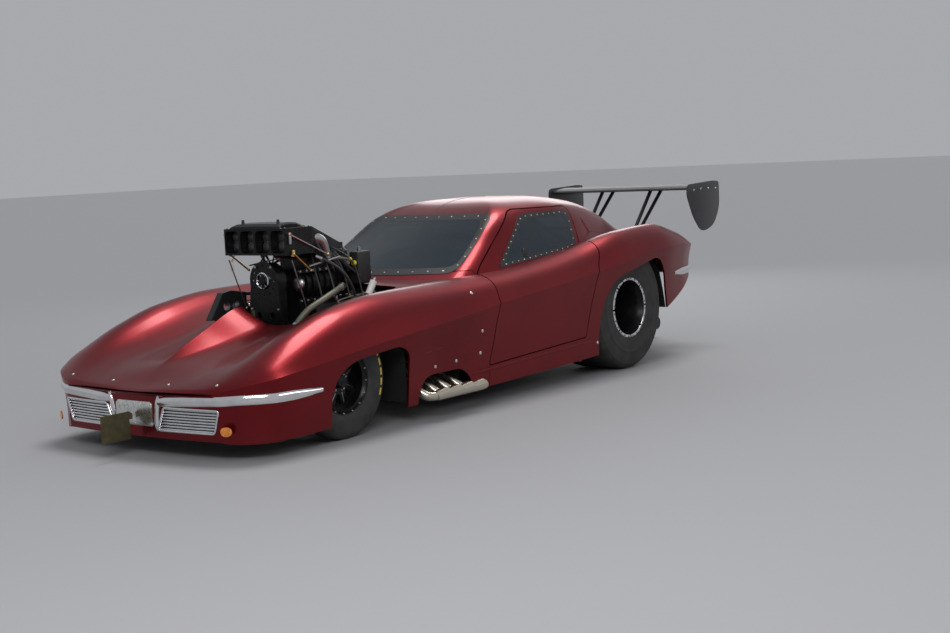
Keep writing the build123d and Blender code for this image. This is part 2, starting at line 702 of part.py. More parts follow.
with BuildPart() as engine_block:
    half_block = [(105, 118), (130, 190), (165, 300), (256, 459), (129, 586), (60, 540)]
    with BuildSketch(cross_plane(ENGINE_REAR)):
        with BuildLine():
            Polyline(*mirrored(half_block), close=True)
        make_face()
    extrude(amount=ENGINE_LENGTH)
    for side in (1, -1):
        with BuildSketch(bank_plane(side, DECK_HEIGHT)):
            Rectangle(2 * ENGINE_LENGTH, 300)
        extrude(amount=200, mode=Mode.SUBTRACT)
    add(block((ENGINE_REAR + 40, -ENGINE_RAIL_Y, 250), (ENGINE_REAR + 60, ENGINE_RAIL_Y, 285)))
    leg_high = (ENGINE_REAR + 60, ENGINE_RAIL_Y + 12, 285)
    add(block_pair((ENGINE_REAR + 40, ENGINE_RAIL_Y - 12, RAIL_Z), leg_high))
    add(rod((ENGINE_FRONT, 0, CRANK_Z), (ENGINE_FRONT + 50, 0, CRANK_Z), 30))
    add(FRAME, mode=Mode.SUBTRACT)
write(engine_block.part, "engine_block")

with BuildPart() as cylinder_heads:
    for side in (1, -1):
        with BuildSketch(bank_plane(side, DECK_HEIGHT)):
            Rectangle(ENGINE_LENGTH - 20, 178)
        extrude(amount=HEAD_HEIGHT)
write(cylinder_heads.part, "cylinder_heads")

with BuildPart() as valve_covers:
    for side in (1, -1):
        with BuildSketch(bank_plane(side, DECK_HEIGHT + HEAD_HEIGHT)):
            RectangleRounded(ENGINE_LENGTH - 20, 190, 20)
        extrude(amount=COVER_HEIGHT)
write(valve_covers.part, "valve_covers")

# Intake manifold between the banks, with the blower on it
MANIFOLD_TOP = BLOWER_AXIS_Z - BLOWER_HEIGHT / 2
BLOWER_REAR = ENGINE_FRONT - BLOWER_LENGTH
with BuildPart() as intake_manifold:
    with BuildSketch(cross_plane(BLOWER_REAR)):
        with BuildLine():
            Polyline(*mirrored([(120, 597), (150, 640), (150, MANIFOLD_TOP)]), close=True)
        make_face()
    extrude(amount=BLOWER_LENGTH)
    add([engine_block.part, cylinder_heads.part, valve_covers.part], mode=Mode.SUBTRACT)
write(intake_manifold.part, "intake_manifold")

BLOWER_RIBS = 9
with BuildPart() as blower:
    with BuildSketch(cross_plane(BLOWER_REAR)):
        with Locations((0, BLOWER_AXIS_Z)):
            RectangleRounded(BLOWER_WIDTH - 24, BLOWER_HEIGHT, 88)
        with Locations((0, MANIFOLD_TOP + 12)):
            Rectangle(BLOWER_WIDTH, 24)
        with Locations((0, BLOWER_AXIS_Z + BLOWER_HEIGHT / 2 - 12)):
            Rectangle(BLOWER_WIDTH - 40, 24)
    extrude(amount=BLOWER_LENGTH)
    pitch = BLOWER_LENGTH / BLOWER_RIBS
    for rib in range(BLOWER_RIBS):
        with BuildSketch(cross_plane(BLOWER_REAR + (rib + 0.5) * pitch - 4)):
            with Locations((0, BLOWER_AXIS_Z)):
                RectangleRounded(BLOWER_WIDTH, BLOWER_HEIGHT, 80)
        extrude(amount=8)
write(blower.part, "blower")

# Blower drive: front cover, upper and lower pulley and the toothed belt round both
BELT_X = FA - 300
BELT_WALL = 10
PULLEYS = ((PULLEY_Z, PULLEY_RADIUS), (CRANK_Z, CRANK_PULLEY_RADIUS))  # height, radius over the belt
with BuildPart() as blower_drive:
    add(rod((ENGINE_FRONT + 0.3, 0, BLOWER_AXIS_Z + 20), (BELT_X - 8, 0, BLOWER_AXIS_Z + 20), 80))
    with BuildSketch(cross_plane(BELT_X)):
        for height, radius in PULLEYS:
            with Locations((0, height)):
                Circle(radius - BELT_WALL)
    extrude(amount=BELT_WIDTH)
    add(rod((BELT_X - 8, 0, PULLEY_Z), (BELT_X + BELT_WIDTH + 18, 0, PULLEY_Z), 42))
    with BuildSketch(cross_plane(BELT_X + 4)):
        with BuildLine():
            Polyline(
                (PULLEY_RADIUS, PULLEY_Z), (CRANK_PULLEY_RADIUS, CRANK_Z),
                (-CRANK_PULLEY_RADIUS, CRANK_Z), (-PULLEY_RADIUS, PULLEY_Z), close=True,
            )
        make_face()
        for height, radius in PULLEYS:
            with Locations((0, height)):
                Circle(radius)
        offset(amount=-BELT_WALL, mode=Mode.SUBTRACT)
    extrude(amount=BELT_WIDTH - 8)
    add(rod((ENGINE_FRONT, 0, CRANK_Z), (ENGINE_FRONT + 50.3, 0, CRANK_Z), 30.3), mode=Mode.SUBTRACT)
write(blower_drive.part, "blower_drive")

# Injector hat: a wide scoop with a row of throats across its face, on a tapered plenum
HAT_FLANGE_Z = BLOWER_AXIS_Z + BLOWER_HEIGHT / 2
HAT_DEPTH = 230
with BuildPart() as injector_hat:
    add(block((HAT_FRONT - HAT_DEPTH, -HAT_HALF_WIDTH, HAT_BOTTOM), (HAT_FRONT, HAT_HALF_WIDTH, HAT_TOP)))
    with BuildSketch(cross_plane(HAT_FRONT - HAT_DEPTH)):
        with Locations((0, (HAT_BOTTOM + HAT_TOP) / 2)):
            Rectangle(2 * HAT_HALF_WIDTH, HAT_TOP - HAT_BOTTOM)
    with BuildSketch(cross_plane(BLOWER_REAR + 60)):
        with Locations((0, HAT_FLANGE_Z + 70)):
            Rectangle(240, 120)
    loft(ruled=True)
    with BuildSketch(Plane.XY.offset(HAT_FLANGE_Z)):
        with Locations(((HAT_FRONT - HAT_DEPTH + BLOWER_REAR) / 2 - 20, 0)):
            Rectangle(330, 230)
    extrude(amount=140)
    pitch = 2 * HAT_HALF_WIDTH / HAT_OPENINGS
    for throat in range(HAT_OPENINGS):
        y = (throat + 0.5) * pitch - HAT_HALF_WIDTH
        with BuildSketch(cross_plane(HAT_FRONT)):
            with Locations((y, (HAT_BOTTOM + HAT_TOP) / 2)):
                RectangleRounded(pitch - 18, HAT_TOP - HAT_BOTTOM - 26, 26)
        extrude(amount=-HAT_DEPTH + 60, mode=Mode.SUBTRACT)
write(injector_hat.part, "injector_hat")

# Exhaust headers: four pipes a side, out of the heads' lower faces, through the notch and swept back
PORT_PITCH = 128
HEADER_X = FA - 600
FIRST_PORT = ENGINE_FRONT - 88
with BuildPart() as exhaust_headers:
    for pipe in range(4):
        port_x = FIRST_PORT - pipe * PORT_PITCH
        elbow_x = HEADER_X - pipe * HEADER_PITCH
        route = [
            (port_x, 280, 510), (port_x, 390, 400), (elbow_x + 25, 640, 255), (elbow_x, 905, 178),
            (elbow_x - 215, 985, 190),
        ]
        add(tube_pair(route, HEADER_RADIUS, 60))
    add(cylinder_heads.part, mode=Mode.SUBTRACT)
write(exhaust_headers.part, "exhaust_headers")

# Front suspension fixed to the frame: lower arms, and the steering rack's housing
RACK_X = FA - STEER_ARM
RACK_Z = 232
RACK_HALF = ENGINE_RAIL_Y + 25
RACK_RADIUS = 11
TIE_EYE_RADIUS = 8
TIE_EYE_SLACK = 3  # the arm's eye swings sideways of the straight tie rod by this much
RACK_HOUSING_RADIUS = 24
BALL_Z = 165
ARM_BOSS = 22
with BuildPart() as front_suspension:
    for x in (FA + 130, FA - 130):
        add(rod_pair((x, ENGINE_RAIL_Y, RAIL_Z), (FA, STEER_AXIS_Y, BALL_Z), SMALL_TUBE_RADIUS - 2))
    add(rod_pair((FA, STEER_AXIS_Y, BALL_Z - 13), (FA, STEER_AXIS_Y, BALL_Z + 13), ARM_BOSS))
    add(
        rod_pair(
            (FA, STEER_AXIS_Y, BALL_Z - 14), (FA, STEER_AXIS_Y, BALL_Z + 14),
            BALL_PIN_RADIUS + PIN_CLEARANCE,
        ),
        mode=Mode.SUBTRACT,
    )
    rack_ends = ((RACK_X, -RACK_HALF, RACK_Z), (RACK_X, RACK_HALF, RACK_Z))
    add(rod(*rack_ends, RACK_HOUSING_RADIUS))
    add(block_pair((RACK_X - 14, ENGINE_RAIL_Y - 12, RAIL_Z), (RACK_X + 14, ENGINE_RAIL_Y + 12, RACK_Z)))
    add(rod(*rack_ends, RACK_RADIUS + PIN_CLEARANCE), mode=Mode.SUBTRACT)
    add(FRAME, mode=Mode.SUBTRACT)
write(front_suspension.part, "front_suspension")

with BuildPart() as tie_rod:
    add(rod((RACK_X, -STEER_AXIS_Y, RACK_Z), (RACK_X, STEER_AXIS_Y, RACK_Z), RACK_RADIUS))
    add(rod_pair((RACK_X, STEER_AXIS_Y, RACK_Z - 9), (RACK_X, STEER_AXIS_Y, RACK_Z + 9), 18))
    add(rod_pair((RACK_X, STEER_AXIS_Y, RACK_Z), (RACK_X, STEER_AXIS_Y, RACK_Z + 30), TIE_EYE_RADIUS))
write(tie_rod.part, "tie_rod")


def turned(outline, x, z, y, side):
    """Turns a half section, given as (distance outboard of y, radius), about a wheel's axle."""
    with BuildPart() as piece:
        with BuildSketch(Plane(origin=(x, 0, z), x_dir=(0, 1, 0), z_dir=(1, 0, 0))):
            with BuildLine():
                Polyline(*[(side * (y + out), radius) for out, radius in outline], close=True)
            make_face()
        revolve(axis=Axis((x, 0, z), (0, 1, 0)))
    return piece.part


def tyre_section(radius, width, tread, rim_radius, rim_width):
    """A tyre's wall in section: sidewalls bulged from the beads to the tread, and the hollow inside."""
    bead = rim_width / 2 - RIM_FLANGE
    seat = rim_radius + SEAT_CLEARANCE
    bulge = rim_radius + (radius - rim_radius) * 0.5
    half, flat = width / 2, tread / 2
    shoulder = radius - (width - tread) * 0.7
    outside = [(bead, seat), (half, bulge - 25), (half, bulge + 25), (flat + 4, shoulder), (flat - 8, radius)]
    inside = [
        (bead - 2 * TYRE_WALL, seat), (half - TYRE_WALL, bulge - 22), (half - TYRE_WALL, bulge + 22),
        (flat - TYRE_WALL, shoulder - TYRE_WALL / 2), (flat - 16, radius - TYRE_WALL),
    ]
    return (
        [(-w, r) for w, r in outside] + outside[::-1] + inside + [(-w, r) for w, r in reversed(inside)]
    )


def rim_section(rim_radius, rim_width, centre, hub_radius):
    """A rim in section: a barrel with a flange at each edge and a centre disc down to the hub."""
    half = rim_width / 2
    seat, bore = rim_radius, rim_radius - RIM_WALL
    return [
        (-half, bore), (-half, seat + RIM_FLANGE), (-half + RIM_FLANGE, seat), (half - RIM_FLANGE, seat),
        (half, seat + RIM_FLANGE), (half, bore), (centre + RIM_CENTRE_WALL, bore),
        (centre + RIM_CENTRE_WALL, hub_radius), (centre, hub_radius), (centre, bore),
    ]


# Front corners: knuckle with strut and caliper, then the wheel with its hub and disc
DISC_Y = STEER_AXIS_Y + 65
DISC_WALL = 8
FRONT_CENTRE = 14  # the front rim's centre disc, outboard of the tyre's middle
STRUT_RADIUS = 26
for side, hand in ((1, "left"), (-1, "right")):
    y = side * STEER_AXIS_Y
    with BuildPart() as knuckle:
        add(block((FA - 26, y - 22, 205), (FA + 26, y + 22, 420)))
        add(rod((FA, y, 400), (FA, y, TOWER_TOP - 45), STRUT_RADIUS))
        add(rod((FA, y, TOWER_TOP - 60), (FA, y, TOWER_TOP - 5), 16))
        add(rod((FA, y, TOWER_TOP - 10), (FA, y, TOWER_TOP + TOWER_PLATE - 3), BALL_PIN_RADIUS))
        add(rod((FA, y, BALL_Z - 10), (FA, y, 210), BALL_PIN_RADIUS))
        add(block((RACK_X - 20, y - 18, RACK_Z + 14), (FA, y + 18, RACK_Z + 28)))
        add(
            rod((RACK_X, y, RACK_Z), (RACK_X, y, RACK_Z + 40), TIE_EYE_RADIUS + TIE_EYE_SLACK),
            mode=Mode.SUBTRACT,
        )
        caliper_low = (FA - 100, side * (DISC_Y - 35), FRONT_TYRE_RADIUS + 60)
        caliper_high = (FA - 60, side * (DISC_Y + DISC_WALL / 2 + 20), FRONT_TYRE_RADIUS + 145)
        add(block(caliper_low, caliper_high))
        carrier_high = (FA - 20, side * (DISC_Y - 25), FRONT_TYRE_RADIUS + 80)
        add(block((FA - 100, y, FRONT_TYRE_RADIUS + 60), carrier_high))
        add(
            rod(
                (FA, side * (DISC_Y - DISC_WALL / 2 - 5), FRONT_TYRE_RADIUS),
                (FA, side * (DISC_Y + DISC_WALL / 2 + 5), FRONT_TYRE_RADIUS),
                FRONT_DISC_RADIUS + 5,
            ),
            mode=Mode.SUBTRACT,
        )
        spindle_end = (FA, side * (FRONT_TRACK_HALF + 20), FRONT_TYRE_RADIUS)
        add(rod((FA, y, FRONT_TYRE_RADIUS), spindle_end, SPINDLE_RADIUS))
    write(knuckle.part, f"knuckle_{hand}")

    with BuildPart() as front_tyre:
        section = tyre_section(
            FRONT_TYRE_RADIUS, FRONT_TYRE_WIDTH, FRONT_TREAD_WIDTH, FRONT_RIM_RADIUS, FRONT_RIM_WIDTH
        )
        add(turned(section, FA, FRONT_TYRE_RADIUS, FRONT_TRACK_HALF, side))
    write(front_tyre.part, f"front_tyre_{hand}")

    with BuildPart() as front_rim:
        section = rim_section(FRONT_RIM_RADIUS, FRONT_RIM_WIDTH, FRONT_CENTRE, 50)
        add(turned(section, FA, FRONT_TYRE_RADIUS, FRONT_TRACK_HALF, side))
        with BuildSketch(Plane(origin=(FA, side * FRONT_TRACK_HALF, FRONT_TYRE_RADIUS), x_dir=(1, 0, 0),
                               z_dir=(0, side, 0))):
            with PolarLocations(120, 8):
                SlotOverall(96, 46)
        extrude(amount=50, mode=Mode.SUBTRACT)
        hub = [(-40, SPINDLE_RADIUS + RUNNING_CLEARANCE), (-40, 46), (FRONT_CENTRE + 20, 52),
               (FRONT_CENTRE + 34, 40), (FRONT_CENTRE + 34, SPINDLE_RADIUS + RUNNING_CLEARANCE)]
        add(turned(hub, FA, FRONT_TYRE_RADIUS, FRONT_TRACK_HALF, side))
        disc = [(-DISC_WALL / 2, 36), (-DISC_WALL / 2, FRONT_DISC_RADIUS), (DISC_WALL / 2, FRONT_DISC_RADIUS),
                (DISC_WALL / 2, 40), (20, 44), (20, SPINDLE_RADIUS + RUNNING_CLEARANCE),
                (-DISC_WALL / 2, SPINDLE_RADIUS + RUNNING_CLEARANCE)]
        add(turned(disc, FA, FRONT_TYRE_RADIUS, DISC_Y, side))
    write(front_rim.part, f"front_rim_{hand}")

# Rear axle: housing with its pinion snout and brackets, carried by four links and two shocks
HOUSING_HALF = REAR_FLANGE_Y - 40
LINK_Y = 345
LINK_HEIGHTS = ((190, 330), (330, 535))  # height at the frame, height at the axle
LINK_X = HOOP_X - 30
BRACKET_WALL = 8
SHOCK_TOP = (SHOCK_CROSS[0], LINK_Y - 70, SHOCK_CROSS[1] - TUBE_RADIUS)
REAR_DISC_Y = REAR_FLANGE_Y - 50
with BuildPart() as axle_housing:
    add(rod((RA, -HOUSING_HALF, REAR_TYRE_RADIUS), (RA, HOUSING_HALF, REAR_TYRE_RADIUS), AXLE_TUBE_RADIUS))
    carrier = [(-120, 20), (-120, 80), (-60, 150), (60, 150), (120, 80), (120, 20)]
    add(turned(carrier, RA, REAR_TYRE_RADIUS, 0, 1))
    add(rod((RA, 0, REAR_TYRE_RADIUS), (RA + 250, 0, REAR_TYRE_RADIUS), 70))
    add(block_pair((RA - 80, LINK_Y + 18, 290), (RA + 90, LINK_Y + 18 + BRACKET_WALL, 575)))
    add(block_pair((RA - 80, LINK_Y - 18 - BRACKET_WALL, 290), (RA + 90, LINK_Y - 18, 575)))
    caliper_y = REAR_DISC_Y - 45
    carrier_high = (RA - 30, REAR_DISC_Y - 20, REAR_TYRE_RADIUS + 60)
    caliper_high = (RA - 110, REAR_DISC_Y + 30, REAR_TYRE_RADIUS + 80)
    add(block_pair((RA - 150, caliper_y, REAR_TYRE_RADIUS + 20), carrier_high))
    add(block_pair((RA - 165, caliper_y, REAR_TYRE_RADIUS), caliper_high))
    add(
        rod_pair((RA, REAR_DISC_Y - 10, REAR_TYRE_RADIUS), (RA, REAR_DISC_Y + 10, REAR_TYRE_RADIUS),
                 REAR_DISC_RADIUS + 6),
        mode=Mode.SUBTRACT,
    )
    bore_half = HOUSING_HALF + 1
    bore_ends = ((RA, -bore_half, REAR_TYRE_RADIUS), (RA, bore_half, REAR_TYRE_RADIUS))
    add(rod(*bore_ends, AXLE_SHAFT_RADIUS + RUNNING_CLEARANCE), mode=Mode.SUBTRACT)
write(axle_housing.part, "axle_housing")

with BuildPart() as rear_suspension:
    for frame_z, axle_z in LINK_HEIGHTS:
        add(rod_pair((LINK_X, LINK_Y, frame_z), (RA + 50, LINK_Y, axle_z), 15))
        add(rod_pair((LINK_X, LINK_Y - 17, frame_z), (LINK_X, LINK_Y + 17, frame_z), 20))
        add(rod_pair((RA + 50, LINK_Y - 17.7, axle_z), (RA + 50, LINK_Y + 17.7, axle_z), 22))
    for y in (LINK_Y - 19 - BRACKET_WALL, LINK_Y + 19):
        add(block_pair((LINK_X - 24, y, 165), (HOOP_X, y + BRACKET_WALL, 360)))
    for frame_z, _ in LINK_HEIGHTS:
        add(rod_pair((LINK_X, LINK_Y - 30, frame_z), (LINK_X, LINK_Y + 30, frame_z), 9))
    low = (RA - 60, SHOCK_TOP[1], 330)
    add(rod_pair(low, SHOCK_TOP, 12))
    upper = tuple(a + (b - a) * 0.9 for a, b in zip(low, SHOCK_TOP))
    lower = tuple(a + (b - a) * 0.2 for a, b in zip(low, SHOCK_TOP))
    add(rod_pair(lower, upper, 32))
    add(rod_pair(low, (low[0], LINK_Y - 18 - BRACKET_WALL - 0.3, low[2]), 12))
    add([*FRAME, roll_cage.part], mode=Mode.SUBTRACT)
write(rear_suspension.part, "rear_suspension")

with BuildPart() as axle_shaft:
    flange_in, flange_out = REAR_FLANGE_Y - 30, REAR_FLANGE_Y
    add(rod((RA, -flange_out, REAR_TYRE_RADIUS), (RA, flange_out, REAR_TYRE_RADIUS), AXLE_SHAFT_RADIUS))
    add(rod_pair((RA, flange_in, REAR_TYRE_RADIUS), (RA, flange_out, REAR_TYRE_RADIUS), 70))
    add(rod_pair((RA, flange_out, REAR_TYRE_RADIUS), (RA, flange_out + 40, REAR_TYRE_RADIUS), 36))
    disc = [(-5, AXLE_TUBE_RADIUS + 6), (-5, REAR_DISC_RADIUS), (5, REAR_DISC_RADIUS), (5, 66), (35, 66),
            (35, AXLE_TUBE_RADIUS + 6)]
    for side in (1, -1):
        add(turned(disc, RA, REAR_TYRE_RADIUS, REAR_DISC_Y, side))
write(axle_shaft.part, "axle_shaft")

REAR_CENTRE = REAR_FLANGE_Y + SEAT_CLEARANCE - REAR_TRACK_HALF
# The beadlock ring, outboard of the rim's edge and above the rim's radius
BEADLOCK = ((0, -RIM_WALL), (0, 18), (10, 18), (10, -RIM_WALL))
with BuildPart() as rear_tyres:
    section = tyre_section(
        REAR_TYRE_RADIUS, REAR_TYRE_WIDTH, REAR_TREAD_WIDTH, REAR_RIM_RADIUS, REAR_RIM_WIDTH
    )
    for side in (1, -1):
        add(turned(section, RA, REAR_TYRE_RADIUS, REAR_TRACK_HALF, side))
write(rear_tyres.part, "rear_tyres")

with BuildPart() as rear_rims:
    section = rim_section(REAR_RIM_RADIUS, REAR_RIM_WIDTH, REAR_CENTRE, 36 + SEAT_CLEARANCE)
    ring = [(REAR_RIM_WIDTH / 2 + out, REAR_RIM_RADIUS + up) for out, up in BEADLOCK]
    for side in (1, -1):
        add(turned(section, RA, REAR_TYRE_RADIUS, REAR_TRACK_HALF, side))
        add(turned(ring, RA, REAR_TYRE_RADIUS, REAR_TRACK_HALF, side))
        face = Plane(origin=(RA, side * REAR_FLANGE_Y, REAR_TYRE_RADIUS), x_dir=(1, 0, 0), z_dir=(0, side, 0))
        with BuildSketch(face):
            with PolarLocations(140, 10):
                Circle(26)
        extrude(amount=60, mode=Mode.SUBTRACT)
write(rear_rims.part, "rear_rims")

# Gearbox and driveshaft in the tunnel
GEARBOX_TAIL = FA - 2030
with BuildPart() as gearbox:
    with BuildSketch(cross_plane(ENGINE_REAR - 1)):
        with Locations((0, CRANK_Z)):
            Circle(TUNNEL_HALF - 15)
    with BuildSketch(cross_plane(ENGINE_REAR - 220)):
        with Locations((0, CRANK_Z)):
            Circle(105)
    loft(ruled=True)
    add(rod((ENGINE_REAR - 220, 0, CRANK_Z), (GEARBOX_TAIL, 0, CRANK_Z), 105))
    add(block((GEARBOX_TAIL + 60, -40, FLOOR_TOP), (GEARBOX_TAIL + 120, 40, CRANK_Z)))
write(gearbox.part, "gearbox")

with BuildPart() as driveshaft:
    pinion_x = RA + 250 + SEAT_CLEARANCE
    tail_x = GEARBOX_TAIL - SEAT_CLEARANCE
    add(rod((tail_x, 0, CRANK_Z), (pinion_x, 0, REAR_TYRE_RADIUS), 44))
    past_pinion = block((RA + 150, -100, REAR_TYRE_RADIUS - 100), (pinion_x, 100, REAR_TYRE_RADIUS + 100))
    past_gearbox = block((tail_x, -100, CRANK_Z - 100), (GEARBOX_TAIL + 60, 100, CRANK_Z + 100))
    add([past_pinion, past_gearbox], mode=Mode.SUBTRACT)
write(driveshaft.part, "driveshaft")

with BuildPart() as fuel_tank:
    with BuildSketch(Plane.XY.offset(RAIL_Z + TUBE_RADIUS + SEAT_CLEARANCE)):
        with Locations((FA + 470, 0)):
            RectangleRounded(230, 2 * ENGINE_RAIL_Y + 20, 40)
    extrude(amount=170)
write(fuel_tank.part, "fuel_tank")

# Rear wing on two struts, with an upright plate at each end
WING_REAR = FA - REAR_REACH + 12
WING_SECTION = (
    (0, 0), (0, 4), (60, 20), (160, 38), (290, WING_THICKNESS), (400, 34), (WING_CHORD - 12, 20),
    (WING_CHORD, 10), (WING_CHORD - 12, 2), (300, 2),
)
with BuildPart() as wing:
    add(side_prism([(WING_REAR + x, WING_Z + z) for x, z in WING_SECTION], -WING_HALF_SPAN, WING_HALF_SPAN))
write(wing.part, "wing")

PLATE_OUTLINE = (
    (FA - REAR_REACH, 1240), (FA - REAR_REACH, 1060), (FA - REAR_REACH + 120, 930), (FA - 4400, 890),
    (FA - 4270, 1020), (FA - 4175, 1180), (FA - 4200, 1262), (FA - REAR_REACH + 30, 1275),
)
with BuildPart() as wing_end_plates:
    low_y = WING_HALF_SPAN + SEAT_CLEARANCE
    high_y = low_y + PLATE_WALL
    add([side_prism(PLATE_OUTLINE, low_y, high_y), side_prism(PLATE_OUTLINE, -high_y, -low_y)])
write(wing_end_plates.part, "wing_end_plates")

WING_STRUT_Y = 230
with BuildPart() as wing_struts:
    for x, top_x in ((TAIL + 60, WING_REAR + 330), (TAIL + 8, WING_REAR + 160)):
        add(rod_pair((x, WING_STRUT_Y, 800), (top_x, WING_STRUT_Y, WING_Z + 10), 14))
    add([outer_body.part, wing.part], mode=Mode.SUBTRACT)
write(wing_struts.part, "wing_struts")

# Parachute packs on a frame behind the tail
PACK_Y = 95
PACK_FRONT = TAIL - 60
PACK_REAR = PACK_FRONT - 330
PACK_HEIGHT = 160
TRAY_HEIGHT = 18  # from the rails' middle to the tray's top
TRAY_WALL = 8
with BuildPart() as parachute_mount:
    add(rod_pair((FRAME_TAIL_X, PACK_Y, REAR_RAIL_Z), (PACK_REAR + 40, PACK_Y, REAR_RAIL_Z), 15))
    tray_low = (PACK_REAR + 40, -PACK_Y - 70, REAR_RAIL_Z + TRAY_HEIGHT - TRAY_WALL)
    add(block(tray_low, (PACK_FRONT - 30, PACK_Y + 70, REAR_RAIL_Z + TRAY_HEIGHT)))
    add(FRAME, mode=Mode.SUBTRACT)
write(parachute_mount.part, "parachute_mount")

with BuildPart() as parachute_packs:
    for side in (1, -1):
        with BuildSketch(cross_plane(PACK_REAR)):
            with Locations((side * PACK_Y, REAR_RAIL_Z + TRAY_HEIGHT + SEAT_CLEARANCE + PACK_HEIGHT / 2)):
                RectangleRounded(150, PACK_HEIGHT, 50)
        extrude(amount=PACK_FRONT - PACK_REAR)
write(parachute_packs.part, "parachute_packs")

# Wheelie bar: four tubes from the axle housing back to a small axle with two wheels
WHEELIE_Y = 130
WHEELIE_PIN = 8
WHEELIE_FOOT_X = RA - 60
with BuildPart() as wheelie_bar:
    for z, low in ((310, -18), (545, 18)):
        bar_end = (WHEELIE_AXLE_X + 30, WHEELIE_Y - 50, WHEELIE_AXLE_Z + low)
        add(rod_pair((WHEELIE_FOOT_X, LINK_Y, z), bar_end, 14))
        add(rod_pair((WHEELIE_FOOT_X, LINK_Y - 17.7, z), (WHEELIE_FOOT_X, LINK_Y + 17.7, z), 18))
    add(block_pair((WHEELIE_AXLE_X - 16, WHEELIE_Y - 62, WHEELIE_AXLE_Z - 30),
                   (WHEELIE_AXLE_X + 50, WHEELIE_Y - 40, WHEELIE_AXLE_Z + 30)))
    for x in (WHEELIE_AXLE_X + 700, WHEELIE_AXLE_X + 60):
        share = (x - WHEELIE_AXLE_X) / (WHEELIE_FOOT_X - WHEELIE_AXLE_X)
        y = WHEELIE_Y - 50 + (LINK_Y - WHEELIE_Y + 50) * share
        z = WHEELIE_AXLE_Z - 18 + (310 - WHEELIE_AXLE_Z + 18) * share
        add(rod((x, -y, z), (x, y, z), 11))
    add(
        rod((WHEELIE_AXLE_X, -WHEELIE_Y, WHEELIE_AXLE_Z), (WHEELIE_AXLE_X, WHEELIE_Y, WHEELIE_AXLE_Z),
            WHEELIE_PIN + PIN_CLEARANCE),
        mode=Mode.SUBTRACT,
    )
    add(axle_housing.part, mode=Mode.SUBTRACT)
write(wheelie_bar.part, "wheelie_bar")

with BuildPart() as wheelie_wheels:
    inside = (WHEELIE_AXLE_X, WHEELIE_Y - WHEELIE_WHEEL_WIDTH / 2, WHEELIE_AXLE_Z)
    outside = (WHEELIE_AXLE_X, WHEELIE_Y + WHEELIE_WHEEL_WIDTH / 2, WHEELIE_AXLE_Z)
    add(rod((outside[0], -outside[1], outside[2]), outside, WHEELIE_PIN))
    add(rod_pair(inside, outside, WHEELIE_WHEEL_RADIUS))
write(wheelie_wheels.part, "wheelie_wheels")
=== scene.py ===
"""The looks of the drag racing car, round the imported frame. Metres, +X forward, +Y the car's left, +Z up."""

from math import cos, hypot, pi, radians, sin

import bpy
from mathutils import Matrix, Vector
from mathutils.bvhtree import BVHTree


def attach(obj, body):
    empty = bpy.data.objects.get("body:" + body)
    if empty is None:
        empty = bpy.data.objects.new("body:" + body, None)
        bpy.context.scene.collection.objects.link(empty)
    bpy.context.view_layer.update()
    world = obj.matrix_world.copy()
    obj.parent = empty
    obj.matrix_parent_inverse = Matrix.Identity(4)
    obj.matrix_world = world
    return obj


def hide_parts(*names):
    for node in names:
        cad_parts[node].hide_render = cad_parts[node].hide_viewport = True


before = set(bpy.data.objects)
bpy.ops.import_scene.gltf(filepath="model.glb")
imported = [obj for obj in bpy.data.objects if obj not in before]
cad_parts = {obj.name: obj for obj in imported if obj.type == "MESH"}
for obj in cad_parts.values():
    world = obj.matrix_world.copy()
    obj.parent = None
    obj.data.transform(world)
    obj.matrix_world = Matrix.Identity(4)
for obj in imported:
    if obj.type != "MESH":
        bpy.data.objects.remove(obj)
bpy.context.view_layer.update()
bpy.ops.object.select_all(action="DESELECT")

# Places that the looks share with the frame
FA = 1.81  # front axle
RA = -1.11  # rear axle
HOOP = FA - 2.36
SKIN = 0.014
GLASS = 0.006
SHUT = 0.007  # gap round each door
SEAM = 0.004  # gap behind the front clip
FRONT_RADIUS = 0.33
REAR_RADIUS = 0.438
FRONT_TRACK = 0.769
REAR_TRACK = 0.68
SIDES = ((1, "left"), (-1, "right"))


# Shader maths
class Wire:
    """A shader socket that takes part in Python arithmetic."""

    def __init__(self, finish, socket):
        self.finish = finish
        self.socket = socket

    def __add__(self, other):
        return self.finish.maths("ADD", self, other)

    def __radd__(self, other):
        return self.finish.maths("ADD", other, self)

    def __sub__(self, other):
        return self.finish.maths("SUBTRACT", self, other)

    def __rsub__(self, other):
        return self.finish.maths("SUBTRACT", other, self)

    def __mul__(self, other):
        return self.finish.maths("MULTIPLY", self, other)

    def __rmul__(self, other):
        return self.finish.maths("MULTIPLY", other, self)


